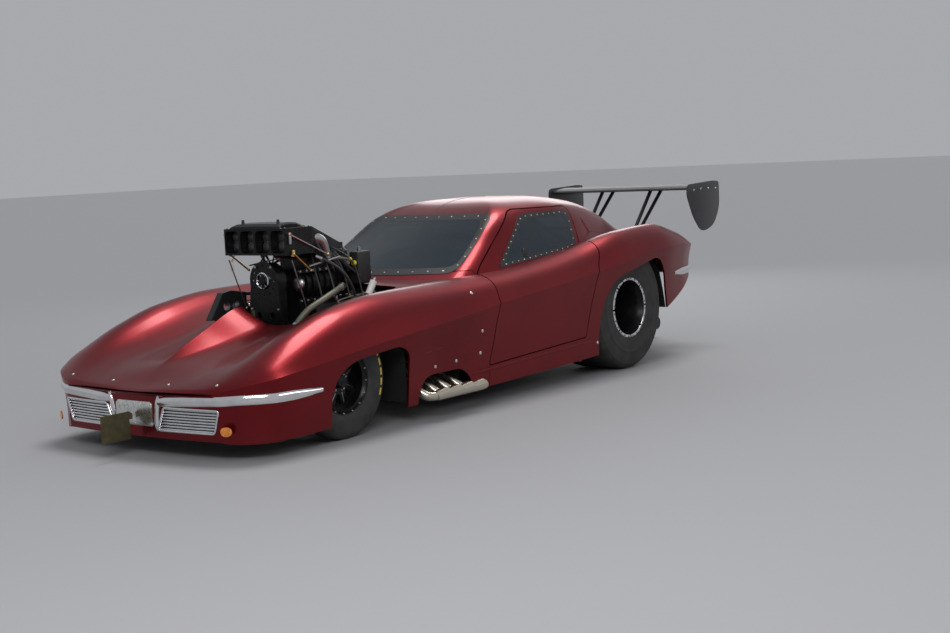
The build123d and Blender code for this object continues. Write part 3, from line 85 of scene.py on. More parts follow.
class Finish:
    """One material, with a principled shader whose sockets are set by value or by wire."""

    def __init__(self, name, colour, roughness, metallic=0.0, **sockets):
        self.material = bpy.data.materials.new(name)
        self.material.use_nodes = True
        self.tree = self.material.node_tree
        self.shader = self.tree.nodes["Principled BSDF"]
        self.set("Base Color", (*colour, 1))
        self.set("Roughness", roughness)
        self.set("Metallic", metallic)
        for socket, value in sockets.items():
            self.set(socket.replace("_", " "), value)

    def plug(self, socket, value):
        """Gives a socket a number, a colour or another node's output."""
        if isinstance(value, Wire):
            self.tree.links.new(value.socket, socket)
        else:
            socket.default_value = value

    def set(self, name, value):
        self.plug(self.shader.inputs[name], value)

    def node(self, kind, settings=None, output=0, **inputs):
        """Adds a node, its settings first and then its sockets, and gives one of its outputs.

        A socket goes by its name, or by i and its number.
        """
        made = self.tree.nodes.new(kind)
        for key, value in (settings or {}).items():
            setattr(made, key, value)
        for key, value in inputs.items():
            numbered = key[0] == "i" and key[1:].isdigit()
            self.plug(made.inputs[int(key[1:]) if numbered else key.replace("_", " ")], value)
        return Wire(self, made.outputs[output])

    def maths(self, operation, a, b=0.0):
        return self.node("ShaderNodeMath", {"operation": operation}, i0=a, i1=b)

    def place(self):
        """The point on the piece, in metres in the car's frame."""
        return self.node("ShaderNodeTexCoord", output=3)

    def split(self, vector):
        made = self.tree.nodes.new("ShaderNodeSeparateXYZ")
        self.plug(made.inputs[0], vector)
        return [Wire(self, out) for out in made.outputs]

    def noise(self, scale, detail=3.0, stretch=(1, 1, 1)):
        """A cloud of values on the piece's own place."""
        mapped = self.node("ShaderNodeMapping", Vector=self.place(), Scale=stretch)
        return self.node("ShaderNodeTexNoise", Vector=mapped, Scale=scale, Detail=detail)

    def ramp(self, value, stops):
        """Colours along a value: stops are (place, colour)."""
        made = self.tree.nodes.new("ShaderNodeValToRGB")
        band = made.color_ramp
        while len(band.elements) < len(stops):
            band.elements.new(0.5)
        for element, (where, colour) in zip(band.elements, stops):
            element.position = where
            element.color = (*colour, 1)
        self.plug(made.inputs[0], value)
        return Wire(self, made.outputs[0])

    def blend(self, share, a, b):
        """Colour a turning into colour b as the share goes from 0 to 1."""
        made = self.tree.nodes.new("ShaderNodeMix")
        made.data_type = "RGBA"
        self.plug(made.inputs[0], share)
        self.plug(made.inputs[6], a if isinstance(a, Wire) else (*a, 1))
        self.plug(made.inputs[7], b if isinstance(b, Wire) else (*b, 1))
        return Wire(self, made.outputs[2])

    def step(self, value, low, high):
        """0 below low and 1 above high, smooth between them."""
        return self.node(
            "ShaderNodeMapRange", {"interpolation_type": "SMOOTHSTEP"},
            i0=value, i1=low, i2=high, i3=0.0, i4=1.0,
        )

    def bump(self, height, strength=0.3, distance=0.001):
        self.set("Normal", self.node("ShaderNodeBump", Height=height, Strength=strength, Distance=distance))


def speckled(name, colour, roughness, metallic=0.0, scale=60, spread=0.25, bump=0.15, **sockets):
    """A finish with slightly uneven colour and roughness and a fine surface grain."""
    made = Finish(name, colour, roughness, metallic, **sockets)
    cloud = made.noise(scale, 4)
    dark = tuple(c * (1 - spread) for c in colour)
    light = tuple(min(c * (1 + spread), 1) for c in colour)
    made.set("Base Color", made.ramp(cloud, ((0.3, dark), (0.7, light))))
    made.set("Roughness", roughness * 0.85 + cloud * (roughness * 0.3))
    made.bump(made.noise(scale * 6, 2), bump)
    return made.material


def candy_paint():
    """Deep red metallic paint under a clear coat, with fine flake and a faint dusting low on the flanks."""
    made = Finish("candy_paint", (0.16, 0.003, 0.009), 0.34, 0.9, Coat_Roughness=0.14, Coat_IOR=1.5)
    flake = made.noise(2600, 1)
    drift = made.noise(1.6, 3)
    base = made.blend(made.step(drift, 0.3, 0.72), (0.120, 0.0018, 0.0065), (0.170, 0.0036, 0.0085))
    sparkle = made.blend(made.step(flake, 0.52, 0.75), base, (0.50, 0.026, 0.022))
    height = made.split(made.place())[2]
    dust = (1 - made.step(height, 0.1, 0.26)) * made.noise(18, 5) * 0.14
    made.set("Base Color", made.blend(dust, sparkle, (0.10, 0.06, 0.05)))
    made.set("Roughness", 0.29 + flake * 0.1 + dust * 0.4)
    made.set("Coat Weight", 0.25 - dust)
    made.bump(made.noise(2100, 1), 0.06, 0.0004)
    return made.material


def window_glass():
    """Smoked polycarbonate with a blue-grey reflection and faint wipe marks."""
    made = Finish("window_glass", (0.02, 0.034, 0.045), 0.1, 0.0, IOR=1.5)
    haze = made.noise(7, 4, (1, 1, 3))
    made.set("Roughness", 0.06 + haze * 0.12)
    made.set("Alpha", 0.58 + haze * 0.2)
    return made.material


PAINT = candy_paint()
WINDOW = window_glass()
BLACK_EDGE = speckled("window_border", (0.012, 0.012, 0.013), 0.4, scale=40)
CHROME = speckled("chrome_plate", (0.78, 0.78, 0.79), 0.12, 1.0, scale=14, spread=0.08, bump=0.03)
BRIGHT = speckled("bright_fastener", (0.72, 0.72, 0.7), 0.28, 1.0, scale=80)
AMBER = speckled("amber_lens", (0.75, 0.24, 0.03), 0.2, scale=50, spread=0.3, Coat_Weight=0.6)
FRAME_PAINT = speckled("frame_paint", (0.045, 0.045, 0.05), 0.4, scale=30)
CARBON = speckled("carbon_panel", (0.02, 0.02, 0.022), 0.34, scale=200, spread=0.5, Coat_Weight=0.3)
BLACK_METAL = speckled("black_anodised", (0.017, 0.017, 0.018), 0.33, 0.7, scale=45, spread=0.35)
BLACK_SATIN = speckled("black_satin", (0.012, 0.012, 0.013), 0.5, scale=50)
CAST = speckled("cast_metal", (0.16, 0.16, 0.165), 0.5, 0.85, scale=90, spread=0.3, bump=0.4)
ALLOY = speckled("machined_alloy", (0.5, 0.5, 0.51), 0.3, 1.0, scale=120, spread=0.12)
GOLD = speckled("gold_fitting", (0.55, 0.4, 0.14), 0.3, 1.0, scale=60)
STEEL = speckled("plain_steel", (0.28, 0.28, 0.285), 0.38, 1.0, scale=60)
WHITE = speckled("white_plastic", (0.75, 0.73, 0.7), 0.45, scale=30, spread=0.1)
YELLOW = speckled("yellow_cap", (0.85, 0.62, 0.02), 0.4, scale=30, spread=0.1)
DULL_YELLOW = speckled("sidewall_mark", (0.6, 0.45, 0.05), 0.7, scale=140, spread=0.35)
OLIVE = speckled("staging_paint", (0.062, 0.053, 0.02), 0.62, scale=22, spread=0.3)
# Near-black: the wheel wells' own liner colour, and painted shade in the header tips, the panes' air holes and
# the drive cover's lower holes
LINER_AND_SHADE = speckled("liner_and_painted_shade", (0.008, 0.008, 0.008), 0.7, scale=20)


def header_steel():
    """Pale stainless pipe with straw and bronze heat tint towards its tips and its ports."""
    made = Finish("header_steel", (0.6, 0.55, 0.46), 0.22, 1.0)
    across = made.split(made.place())[1]
    out = made.maths("ABSOLUTE", across)
    cloud = made.noise(9, 3)
    tint = made.ramp(out * 1.1 + cloud * 0.18, (
        (0.0, (0.16, 0.12, 0.10)), (0.7, (0.36, 0.30, 0.22)),
        (0.93, (0.66, 0.63, 0.56)), (1.0, (0.62, 0.57, 0.47)),
    ))
    made.set("Base Color", tint)
    made.set("Roughness", 0.16 + cloud * 0.16)
    made.bump(made.noise(240, 2), 0.05)
    return made.material


def tyre_rubber():
    """Black rubber with greyer patches and a fine scuffed grain."""
    made = Finish("tyre_rubber", (0.02, 0.02, 0.02), 0.72)
    cloud = made.noise(14, 5)
    fine = made.noise(420, 2)
    made.set("Base Color", made.ramp(cloud, ((0.3, (0.012, 0.012, 0.012)), (0.75, (0.04, 0.038, 0.036)))))
    made.set("Roughness", 0.6 + cloud * 0.3)
    made.bump(fine, 0.25)
    return made.material


def pack_fabric():
    """Heavy black nylon with a square weave."""
    made = Finish("pack_fabric", (0.02, 0.02, 0.022), 0.85, Sheen_Weight=0.3)
    x, y, z = made.split(made.place())
    warp = made.maths("SINE", (x + z) * 2600)
    weft = made.maths("SINE", (y - z) * 2600)
    weave = warp * weft
    cloud = made.noise(12, 4)
    made.set("Base Color", made.ramp(cloud, ((0.3, (0.012, 0.012, 0.014)), (0.7, (0.04, 0.04, 0.044)))))
    made.bump(weave + cloud, 0.4, 0.0006)
    return made.material


HEADER = header_steel()
RUBBER = tyre_rubber()
FABRIC = pack_fabric()


# Modelling by hand
WELD = 1e-6  # points nearer to each other than this become one


def chosen(piece):
    """Selects one object alone and makes it active."""
    bpy.ops.object.select_all(action="DESELECT")
    piece.select_set(True)
    bpy.context.view_layer.objects.active = piece
    return piece


def named(piece, name):
    piece.name = name
    piece.data.name = name
    return piece


def coated(piece, material):
    """Gives a piece one material and no other."""
    piece.data.materials.clear()
    piece.data.materials.append(material)
    return piece


def into_scene(name, data):
    """A new object for a curve, a lamp or a camera."""
    piece = bpy.data.objects.new(name, data)
    bpy.context.scene.collection.objects.link(piece)
    return piece


def fresh(name, material=None):
    """Names the object that an operator has just added and applies its place to its mesh."""
    piece = named(bpy.context.object, name)
    bpy.ops.object.transform_apply(location=True, rotation=True, scale=True)
    return coated(piece, material) if material else piece


def modify(piece, kind, **settings):
    """Adds a modifier and applies it."""
    chosen(piece)
    made = piece.modifiers.new(kind, kind)
    for key, value in settings.items():
        setattr(made, key, value)
    bpy.ops.object.modifier_apply(modifier=made.name)
    return piece


def smooth(piece, degrees=35):
    chosen(piece)
    bpy.ops.object.shade_smooth_by_angle(angle=radians(degrees))
    return piece


def joined(name, pieces):
    """Joins meshes into one piece."""
    chosen(pieces[0])
    for piece in pieces[1:]:
        piece.select_set(True)
    if len(pieces) > 1:
        bpy.ops.object.join()
    return named(bpy.context.object, name)


def copy_of(piece, name):
    chosen(piece)
    bpy.ops.object.duplicate()
    return named(bpy.context.object, name)


def outward(piece):
    """Turns every face's normal outwards."""
    chosen(piece)
    bpy.ops.object.mode_set(mode="EDIT")
    bpy.ops.mesh.select_all(action="SELECT")
    bpy.ops.mesh.normals_make_consistent(inside=False)
    bpy.ops.object.mode_set(mode="OBJECT")
    return piece


def lattice(name, rows, material=None, degrees=None, caps=True):
    """A grid shaped by rows of points. Each row closes on itself, and caps close the first and the last.

    With an angle in degrees, edges that are flatter than it are shaded smooth.
    """
    rows = [list(row) + [row[0]] for row in rows]
    bpy.ops.mesh.primitive_grid_add(x_subdivisions=len(rows[0]) - 1, y_subdivisions=len(rows) - 1, size=1)
    piece = fresh(name, material)
    piece.data.vertices.foreach_set("co", [c for row in rows for point in row for c in point])
    bpy.ops.object.mode_set(mode="EDIT")
    bpy.ops.mesh.select_mode(type="VERT")
    bpy.ops.mesh.select_all(action="SELECT")
    bpy.ops.mesh.remove_doubles(threshold=WELD)
    if caps:
        bpy.ops.mesh.select_all(action="DESELECT")
        bpy.ops.mesh.select_non_manifold(
            extend=False, use_wire=False, use_multi_face=False, use_non_contiguous=False, use_verts=False
        )
        bpy.ops.mesh.fill_holes(sides=0)
        bpy.ops.mesh.select_all(action="SELECT")
    bpy.ops.mesh.normals_make_consistent(inside=False)
    bpy.ops.object.mode_set(mode="OBJECT")
    return smooth(piece, degrees) if degrees else piece


def prism(name, outline, low, high, axis, material, degrees=None):
    """A solid with the given outline, drawn across an axis, between two distances along it."""
    def point(a, b, c):
        return {"y": (a, c, b), "x": (c, a, b), "z": (a, b, c)}[axis]
    return lattice(name, [[point(a, b, c) for a, b in outline] for c in (low, high)], material, degrees)


def rounded(outline, radius, steps=5):
    """The outline with each corner cut to an arc."""
    made = []
    count = len(outline)
    for i, corner in enumerate(outline):
        corner = Vector(corner)
        before = Vector(outline[i - 1]) - corner
        after = Vector(outline[(i + 1) % count]) - corner
        reach = radius[i] if isinstance(radius, (list, tuple)) else radius
        reach = min(reach, before.length * 0.45, after.length * 0.45)
        start = corner + before.normalized() * reach
        end = corner + after.normalized() * reach
        for step in range(steps + 1):
            t = step / steps
            made.append(tuple((1 - t) ** 2 * start + 2 * t * (1 - t) * corner + t * t * end))
    return made


def carve(piece, tool, operation="DIFFERENCE"):
    """Cuts a piece with a solid, which is used up. Faces that the solid leaves keep the solid's material."""
    modify(piece, "BOOLEAN", object=tool, operation=operation, solver="EXACT", material_mode="TRANSFER")
    bpy.data.objects.remove(tool)
    return piece


def bar(name, start, end, radius, material, sides=16, end_radius=None):
    """A round bar between two points, tapered where an end radius is given."""
    start, end = Vector(start), Vector(end)
    along = end - start
    bpy.ops.mesh.primitive_cone_add(
        vertices=sides, radius1=radius, radius2=radius if end_radius is None else end_radius,
        depth=along.length, location=(start + end) / 2, rotation=along.to_track_quat("Z", "Y").to_euler(),
    )
    return smooth(fresh(name, material))


def brick(name, low, high, material, bevel, segments=2):
    """A box between two corners with rounded edges."""
    low, high = Vector(low), Vector(high)
    bpy.ops.mesh.primitive_cube_add(
        size=1, location=(low + high) / 2, scale=tuple(abs(c) for c in (high - low))
    )
    return smooth(modify(fresh(name, material), "BEVEL", width=bevel, segments=segments))


def pipe(name, points, radius, material, sides=12, resolution=6):
    """A round pipe on a smooth line through the given points."""
    curve = bpy.data.curves.new(name, "CURVE")
    curve.dimensions = "3D"
    curve.bevel_depth = radius
    curve.bevel_resolution = max(sides // 4 - 1, 1)
    curve.resolution_u = resolution
    curve.use_fill_caps = True
    line = curve.splines.new("NURBS")
    line.points.add(len(points) - 1)
    for spot, point in zip(line.points, points):
        spot.co = (*point, 1)
    line.order_u = 3
    line.use_endpoint_u = True
    chosen(into_scene(name, curve))
    bpy.ops.object.convert(target="MESH")
    return smooth(coated(bpy.context.object, material), 50)


def turned(name, outline, centre, material, segments=64, axis="y"):
    """A solid turned about an axle through centre. The outline is (along the axle, radius)."""
    cx, cy, cz = centre
    rows = []
    for step in range(segments):
        a = 2 * pi * step / segments
        if axis == "y":
            rows.append([(cx + r * cos(a), cy + out, cz + r * sin(a)) for out, r in outline])
        elif axis == "x":
            rows.append([(cx + out, cy + r * cos(a), cz + r * sin(a)) for out, r in outline])
        else:
            rows.append([(cx + r * cos(a), cy + r * sin(a), cz + out) for out, r in outline])
    return lattice(name, rows + rows[:1], material, 32, caps=False)


def around(radius, count, phase=0.0, centre=(0, 0)):
    """Points evenly round a circle."""
    angles = [phase + 2 * pi * i / count for i in range(count)]
    return [(centre[0] + radius * cos(a), centre[1] + radius * sin(a)) for a in angles]


def at(side, x, y, z):
    """A place on one side of the car, its x from the front axle."""
    return FA + x, side * y, z


def settle(piece, body="root", *nodes, slot=None):
    """Gives a finished piece its body and the nodes that it stands for. The slot is not used."""
    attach(piece, body)
    if nodes:
        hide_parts(*nodes)
    return piece


# Body surface: key stations from nose to tail. Columns: x from the front axle, sill height and half width,
# belt half width and height, fender peak half width and height, valley half width and height,
# half width and height of the foot of the hood's centre ridge, and height of the ridge
STATIONS = (
    (0.858, 0.352, 0.600, 0.618, 0.366, 0.540, 0.372, 0.300, 0.366, 0.10, 0.362, 0.361),
    (0.846, 0.336, 0.640, 0.660, 0.380, 0.560, 0.388, 0.300, 0.377, 0.10, 0.369, 0.368),
    (0.836, 0.105, 0.640, 0.690, 0.386, 0.580, 0.396, 0.310, 0.383, 0.10, 0.374, 0.373),
    (0.790, 0.092, 0.720, 0.765, 0.405, 0.640, 0.425, 0.330, 0.402, 0.10, 0.393, 0.392),
    (0.700, 0.092, 0.812, 0.848, 0.424, 0.672, 0.474, 0.348, 0.434, 0.10, 0.438, 0.440),
    (0.600, 0.095, 0.865, 0.900, 0.441, 0.690, 0.525, 0.360, 0.464, 0.06, 0.482, 0.490),
    (0.300, 0.100, 0.885, 0.930, 0.475, 0.705, 0.655, 0.345, 0.530, 0.135, 0.552, 0.625),
    (0.000, 0.105, 0.885, 0.938, 0.510, 0.708, 0.742, 0.335, 0.606, 0.205, 0.632, 0.738),
    (-0.400, 0.112, 0.880, 0.938, 0.545, 0.708, 0.790, 0.400, 0.690, 0.250, 0.690, 0.760),
    (-1.000, 0.118, 0.880, 0.938, 0.598, 0.708, 0.800, 0.470, 0.772, 0.260, 0.778, 0.795),
    (-1.400, 0.122, 0.882, 0.938, 0.640, 0.735, 0.805, 0.500, 0.800, 0.260, 0.805, 0.810),
    (-1.900, 0.136, 0.890, 0.941, 0.682, 0.745, 0.838, 0.500, 0.838, 0.260, 0.840, 0.842),
    (-2.360, 0.150, 0.900, 0.946, 0.725, 0.755, 0.890, 0.500, 0.885, 0.260, 0.882, 0.880),
    (-2.920, 0.180, 0.905, 0.955, 0.790, 0.800, 0.985, 0.540, 0.928, 0.260, 0.936, 0.940),
    (-3.360, 0.360, 0.900, 0.948, 0.828, 0.790, 1.005, 0.520, 0.932, 0.260, 0.931, 0.930),
    (-3.720, 0.480, 0.860, 0.900, 0.838, 0.750, 0.945, 0.500, 0.888, 0.260, 0.882, 0.880),
    (-3.960, 0.570, 0.800, 0.832, 0.822, 0.715, 0.868, 0.490, 0.836, 0.260, 0.828, 0.826),
    (-4.030, 0.600, 0.768, 0.800, 0.810, 0.700, 0.832, 0.480, 0.818, 0.260, 0.808, 0.806),
)
FLANK_TUCK = 0.014  # how far the flank is hollowed between sill and belt
TUCK_FROM, TUCK_RUN, TUCK_LEAST = 0.42, 0.3, 0.15  # little hollow beside the steered wheels
TUCK_HEIGHT = 0.3  # a lower flank is hollowed less
NOSE_BOW = 0.055  # how far the nose's corners lie behind its middle
TAIL_BOW = 0.05
NOSE_BOW_END = 0.35
TAIL_BOW_START = -3.3
FLANK_STEPS, CROWN_STEPS, HOOD_STEPS = 8, 16, 7


def hermite(knots, x):
    """A smooth row between the key rows, whose first column falls along the list."""
    last = len(knots) - 2
    i = next((k for k in range(last + 1) if x >= knots[k + 1][0]), last)
    a, b = knots[i], knots[i + 1]
    span = a[0] - b[0]
    t = min(max((a[0] - x) / span, 0), 1)
    before = knots[i - 1] if i else a
    after = knots[i + 2] if i < last else b

    def slope(p, q, r, column):
        """The gentler of the slopes on both sides of q, or none at a turning point."""
        back = (q[column] - p[column]) / (p[0] - q[0]) if p[0] != q[0] else None
        ahead = (r[column] - q[column]) / (q[0] - r[0]) if q[0] != r[0] else None
        if back is None or ahead is None:
            return (ahead if back is None else back) or 0
        return 0 if back * ahead <= 0 else 2 * back * ahead / (back + ahead)

    row = [x]
    for column in range(1, len(a)):
        m0 = slope(before, a, b, column) * span
        m1 = slope(a, b, after, column) * span
        row.append(
            (2 * t ** 3 - 3 * t ** 2 + 1) * a[column] + (t ** 3 - 2 * t ** 2 + t) * m0
            + (3 * t ** 2 - 2 * t ** 3) * b[column] + (t ** 3 - t ** 2) * m1
        )
    return row


def through(points, steps):
    """Points on a smooth line through the given ones, the given ends included."""
    made = [points[0]]
    spans = len(points) - 1
    for i in range(spans):
        p1, p2 = Vector(points[i]), Vector(points[i + 1])
        p0 = Vector(points[i - 1]) if i else p1 * 2 - p2
        p3 = Vector(points[i + 2]) if i + 2 <= spans else p2 * 2 - p1
        for step in range(1, steps + 1):
            t = step / steps
            spot = 0.5 * (
                2 * p1 + (p2 - p0) * t + (2 * p0 - 5 * p1 + 4 * p2 - p3) * t ** 2
                + (3 * p1 - p0 - 3 * p2 + p3) * t ** 3
            )
            made.append(tuple(spot))
    return made


def bow(x, y):
    """How far a point of the nose or tail lies behind the middle of its station."""
    nose = min(max((x - NOSE_BOW_END) / (STATIONS[0][0] - NOSE_BOW_END), 0), 1)
    tail = min(max((TAIL_BOW_START - x) / (TAIL_BOW_START - STATIONS[-1][0]), 0), 1)
    return (TAIL_BOW * tail ** 2 - NOSE_BOW * nose ** 2) * min(abs(y) / 0.7, 1) ** 2


def half_section(x):
    """The left half of the body's section at a station, from the sill to the middle of the hood or deck."""
    sill_z, sill_y, belt_y, belt_z, peak_y, peak_z, *inner = hermite(STATIONS, x)[1:]
    valley_y, valley_z, foot_y, foot_z, ridge_z = inner
    points = []
    hollow = FLANK_TUCK * min(max((abs(x) - TUCK_FROM) / TUCK_RUN, TUCK_LEAST), 1)
    for step in range(FLANK_STEPS):
        t = step / FLANK_STEPS
        tuck = hollow * sin(pi * t) * min((belt_z - sill_z) / TUCK_HEIGHT, 1)
        points.append((sill_y + (belt_y - sill_y) * t - tuck, sill_z + (belt_z - sill_z) * t))
    rise = peak_z - belt_z
    crown = [
        (belt_y, belt_z),
        (belt_y + (peak_y - belt_y) * 0.38, belt_z + rise * 0.66),
        (peak_y, peak_z),
        (peak_y + (valley_y - peak_y) * 0.5, peak_z + (valley_z - peak_z) * 0.6),
        (valley_y, valley_z),
    ]
    points += through(crown, CROWN_STEPS // 4)
    for step in range(1, 3):
        t = step / 3
        points.append((valley_y + (foot_y - valley_y) * t, valley_z + (foot_z - valley_z) * t ** 1.5))
    for step in range(HOOD_STEPS):
        t = step / HOOD_STEPS
        points.append((foot_y * (1 - t), foot_z + (ridge_z - foot_z) * t))
    points.append((0, ridge_z))
    return points


NOSE_PLACES = [0.858, 0.846, 0.8445, 0.843, 0.841, 0.8385, 0.836, 0.815, 0.79, 0.76, 0.73]
TAIL_PLACES = [-3.96, -3.99, -4.01, -4.03]
STATION_PITCH = 0.035
FLOOR_SHARES = (-0.75, -0.5, -0.25, 0, 0.25, 0.5, 0.75)


def station_places():
    """Stations close together at the nose and tail and evenly spaced between."""
    places = list(NOSE_PLACES)
    x = 0.70
    while x > TAIL_PLACES[0]:
        places.append(x)
        x -= STATION_PITCH
    return places + TAIL_PLACES


def lower_solid():
    """The body up to the belt, hood and decks as one closed solid."""
    rows = []
    for x in station_places():
        left = [(FA + x + bow(x, y), y, z) for y, z in half_section(x)]
        right = [(px, -py, pz) for px, py, pz in reversed(left[:-1])]
        x0, y0, z0 = left[0]
        floor = [(x0 + bow(x, y0 * t) - bow(x, y0), y0 * t, z0) for t in FLOOR_SHARES]
        rows.append(left + right + floor)
    return lattice("lower_solid", rows, PAINT)


# Cabin rings: height, then x from the front axle and half width, from the windshield's middle to the tail
CABIN = (
    (0.700, ((-0.84, 0), (-0.99, 0.53), (-1.26, 0.73), (-2.36, 0.79), (-2.86, 0.74), (-3.84, 0.42),
            (-3.93, 0))),
    (0.800, ((-1.05, 0), (-1.20, 0.52), (-1.43, 0.705), (-2.36, 0.74), (-2.86, 0.71),
            (-3.82, 0.41), (-3.94, 0))),
    (0.985, ((-1.43, 0), (-1.53, 0.46), (-1.68, 0.63), (-2.36, 0.668), (-2.80, 0.635),
            (-3.48, 0.41), (-3.63, 0))),
    (1.120, ((-1.70, 0), (-1.75, 0.41), (-1.84, 0.565), (-2.36, 0.602), (-2.75, 0.575),
            (-3.22, 0.39), (-3.36, 0))),
    (1.190, ((-1.85, 0), (-1.88, 0.36), (-1.94, 0.50), (-2.36, 0.555), (-2.70, 0.52),
            (-3.02, 0.36), (-3.14, 0))),
    (1.235, ((-1.97, 0), (-1.99, 0.28), (-2.03, 0.40), (-2.36, 0.46), (-2.62, 0.43), (-2.82, 0.29),
            (-2.90, 0))),
    (1.262, ((-2.10, 0), (-2.11, 0.18), (-2.14, 0.27), (-2.36, 0.32), (-2.54, 0.30), (-2.64, 0.19),
            (-2.68, 0))),
    (1.273, ((-2.25, 0), (-2.26, 0.05), (-2.28, 0.08), (-2.36, 0.1), (-2.42, 0.09), (-2.45, 0.05),
            (-2.46, 0))),
)
RING_STEPS = 7
CABIN_HEIGHTS = [0.70 + 0.02 * i for i in range(24)]
CABIN_HEIGHTS += [1.175, 1.19, 1.205, 1.22, 1.235, 1.246, 1.255, 1.262, 1.268, 1.273]


def cabin_ring(z):
    """The cabin's outline at a height, left half from front to rear."""
    knots = [(-height, *[c for corner in corners for c in corner]) for height, corners in CABIN]
    row = hermite(knots, -z)[1:]
    corners = list(zip(row[::2], row[1::2]))
    (nose_x, _), (tail_x, _) = corners[0], corners[-1]
    shadowed = [(corners[1][0], -corners[1][1])] + corners + [(corners[-2][0], -corners[-2][1])]
    line = through(shadowed, RING_STEPS)[RING_STEPS:-RING_STEPS]
    line[0], line[-1] = (nose_x, 0), (tail_x, 0)
    return line


def cabin_solid():
    """The cabin as one closed solid whose foot is sunk in the body."""
    rows = []
    for z in CABIN_HEIGHTS:
        half = cabin_ring(z)
        rows.append([(FA + x, y, z) for x, y in half] + [(FA + x, -y, z) for x, y in reversed(half[1:-1])])
    return lattice("cabin_solid", rows, PAINT)


# Outlines of openings and seams, side view from the front axle unless another view is named
DOOR_LINE = [
    (-1.258, 0.255), (-1.300, 0.400), (-1.334, 0.622), (-1.396, 0.787), (-1.470, 0.850), (-2.005, 1.190),
    (-2.655, 1.182), (-2.600, 0.908), (-2.450, 0.750), (-2.394, 0.533), (-2.330, 0.300),
]
DOOR_ROUND = [0.02, 0.12, 0.12, 0.1, 0.12, 0.06, 0.05, 0.1, 0.1, 0.1, 0.02]
CLIP_LINE = [
    (1.2, -0.1), (-1.240, -0.1), (-1.258, 0.255), (-1.300, 0.400), (-1.334, 0.622), (-1.396, 0.787),
    (-1.396, 0.835), (-1.030, 0.835), (-1.030, 1.5), (1.2, 1.5),
]
SIDE_GLASS = [(-1.652, 0.842), (-2.065, 1.145), (-2.610, 1.150), (-2.540, 0.908)]
SIDE_ROUND = [0.05, 0.07, 0.06, 0.08]
WINDSHIELD = [(0.605, 0.838), (0.505, 1.165)]
REAR_GLASS = [(0.335, 0.965), (0.290, 1.155)]
FRONT_ARCH = [
    (0.195, -0.1), (0.205, 0.28), (0.15, 0.395), (0.03, 0.455), (-0.36, 0.490), (-0.455, 0.445),
    (-0.47, -0.1),
]
REAR_ARCH = [
    (-2.475, -0.1), (-2.490, 0.33), (-2.560, 0.535), (-2.690, 0.668), (-3.260, 0.782), (-3.380, 0.66),
    (-3.440, 0.36), (-3.455, -0.1),
]
HEADER_NOTCH = [(-0.545, -0.1), (-0.56, 0.2), (-0.64, 0.275), (-0.975, 0.275), (-1.075, 0.2), (-1.09, -0.1)]
ENGINE_HOLE = [(-0.005, 0.2), (-0.15, 0.41), (-0.97, 0.435), (-0.97, -0.435), (-0.15, -0.41), (-0.005, -0.2)]
GRILLE_LOW, GRILLE_HIGH = 0.150, 0.278
GRILLE_CORNERS = [  # left, front view
    (0.185, GRILLE_LOW), (0.600, GRILLE_LOW), (0.640, GRILLE_HIGH), (0.240, GRILLE_HIGH),
]
GRILLE_ROUND = 0.018
FRONT_ARCH_ROUND, REAR_ARCH_ROUND, NOTCH_ROUND, ENGINE_HOLE_ROUND = 0.12, 0.14, 0.07, 0.09
NOSE_REACH = (FA + 0.6, FA + 1.0)
HOOD_REACH = (0.35, 1.5)
DOOR_GLASS_REACH = (0.3, 0.722)  # stops short of the fender's crown
NOTHING = bpy.data.materials.new("cut_face")
SKIN_WELD = 0.0002
UNDERSIDE_TOP, UNDERSIDE_FRONT = 0.62, 0.83
DOOR_DEPTH = 0.35  # how near to the middle a door's cut runs


def shifted(outline):
    return [(FA + x, z) for x, z in outline]


def grown(outline, amount):
    """The outline moved outwards by an amount, corner by corner."""
    area = sum(a[0] * b[1] - b[0] * a[1] for a, b in zip(outline, outline[1:] + outline[:1]))
    turn = 1 if area > 0 else -1
    made = []
    for i, here in enumerate(outline):
        here, before, after = Vector(here), Vector(outline[i - 1]), Vector(outline[(i + 1) % len(outline)])
        u, v = (here - before).normalized(), (after - here).normalized()
        n = Vector((u.y + v.y, -u.x - v.x)) * turn
        n.normalize()
        cosine = max(n.dot(Vector((u.y, -u.x)) * turn), 0.4)
        made.append(tuple(here + n * (amount / cosine)))
    return made


def cutter(outline, low, high, axis="y", material=NOTHING):
    return prism("cutter", outline, low, high, axis, material)


def side_cutter(outline, side=0, inner=0.6, outer=1.2):
    """A cutter with a side view outline, for one flank, or through the whole car where side is 0."""
    low, high = sorted((side * inner, side * outer)) if side else (-outer, outer)
    return cutter(shifted(outline), low, high)


def skinned(piece, thickness=SKIN):
    """Keeps a cut solid's painted skin, drops the cut faces and gives the skin its thickness inwards."""
    chosen(piece)
    bpy.ops.object.mode_set(mode="EDIT")
    bpy.ops.mesh.select_mode(type="FACE")
    bpy.ops.mesh.select_all(action="DESELECT")
    for index, material_slot in enumerate(piece.material_slots):
        if material_slot.material == NOTHING:
            piece.active_material_index = index
            bpy.ops.object.material_slot_select()
    bpy.ops.mesh.delete(type="FACE")
    bpy.ops.mesh.select_all(action="SELECT")
    bpy.ops.mesh.remove_doubles(threshold=SKIN_WELD)
    bpy.ops.object.mode_set(mode="OBJECT")
    coated(piece, piece.data.materials[0])
    modify(piece, "SOLIDIFY", thickness=thickness, offset=-1, use_even_offset=False)
    return smooth(piece, 28)


def whole_body():
    """The lower body and the cabin as one solid, with the underside marked to be dropped."""
    body = lower_solid()
    body.data.materials.append(NOTHING)
    for polygon in body.data.polygons:
        here = polygon.center
        if polygon.normal.z < -0.75 and here.z < UNDERSIDE_TOP and here.x < FA + UNDERSIDE_FRONT:
            polygon.material_index = 1
    return carve(body, cabin_solid(), "UNION")


def rounded_glass(grow):
    """A side window's outline, grown by an amount."""
    return rounded(grown(SIDE_GLASS, grow) if grow else SIDE_GLASS, SIDE_ROUND)


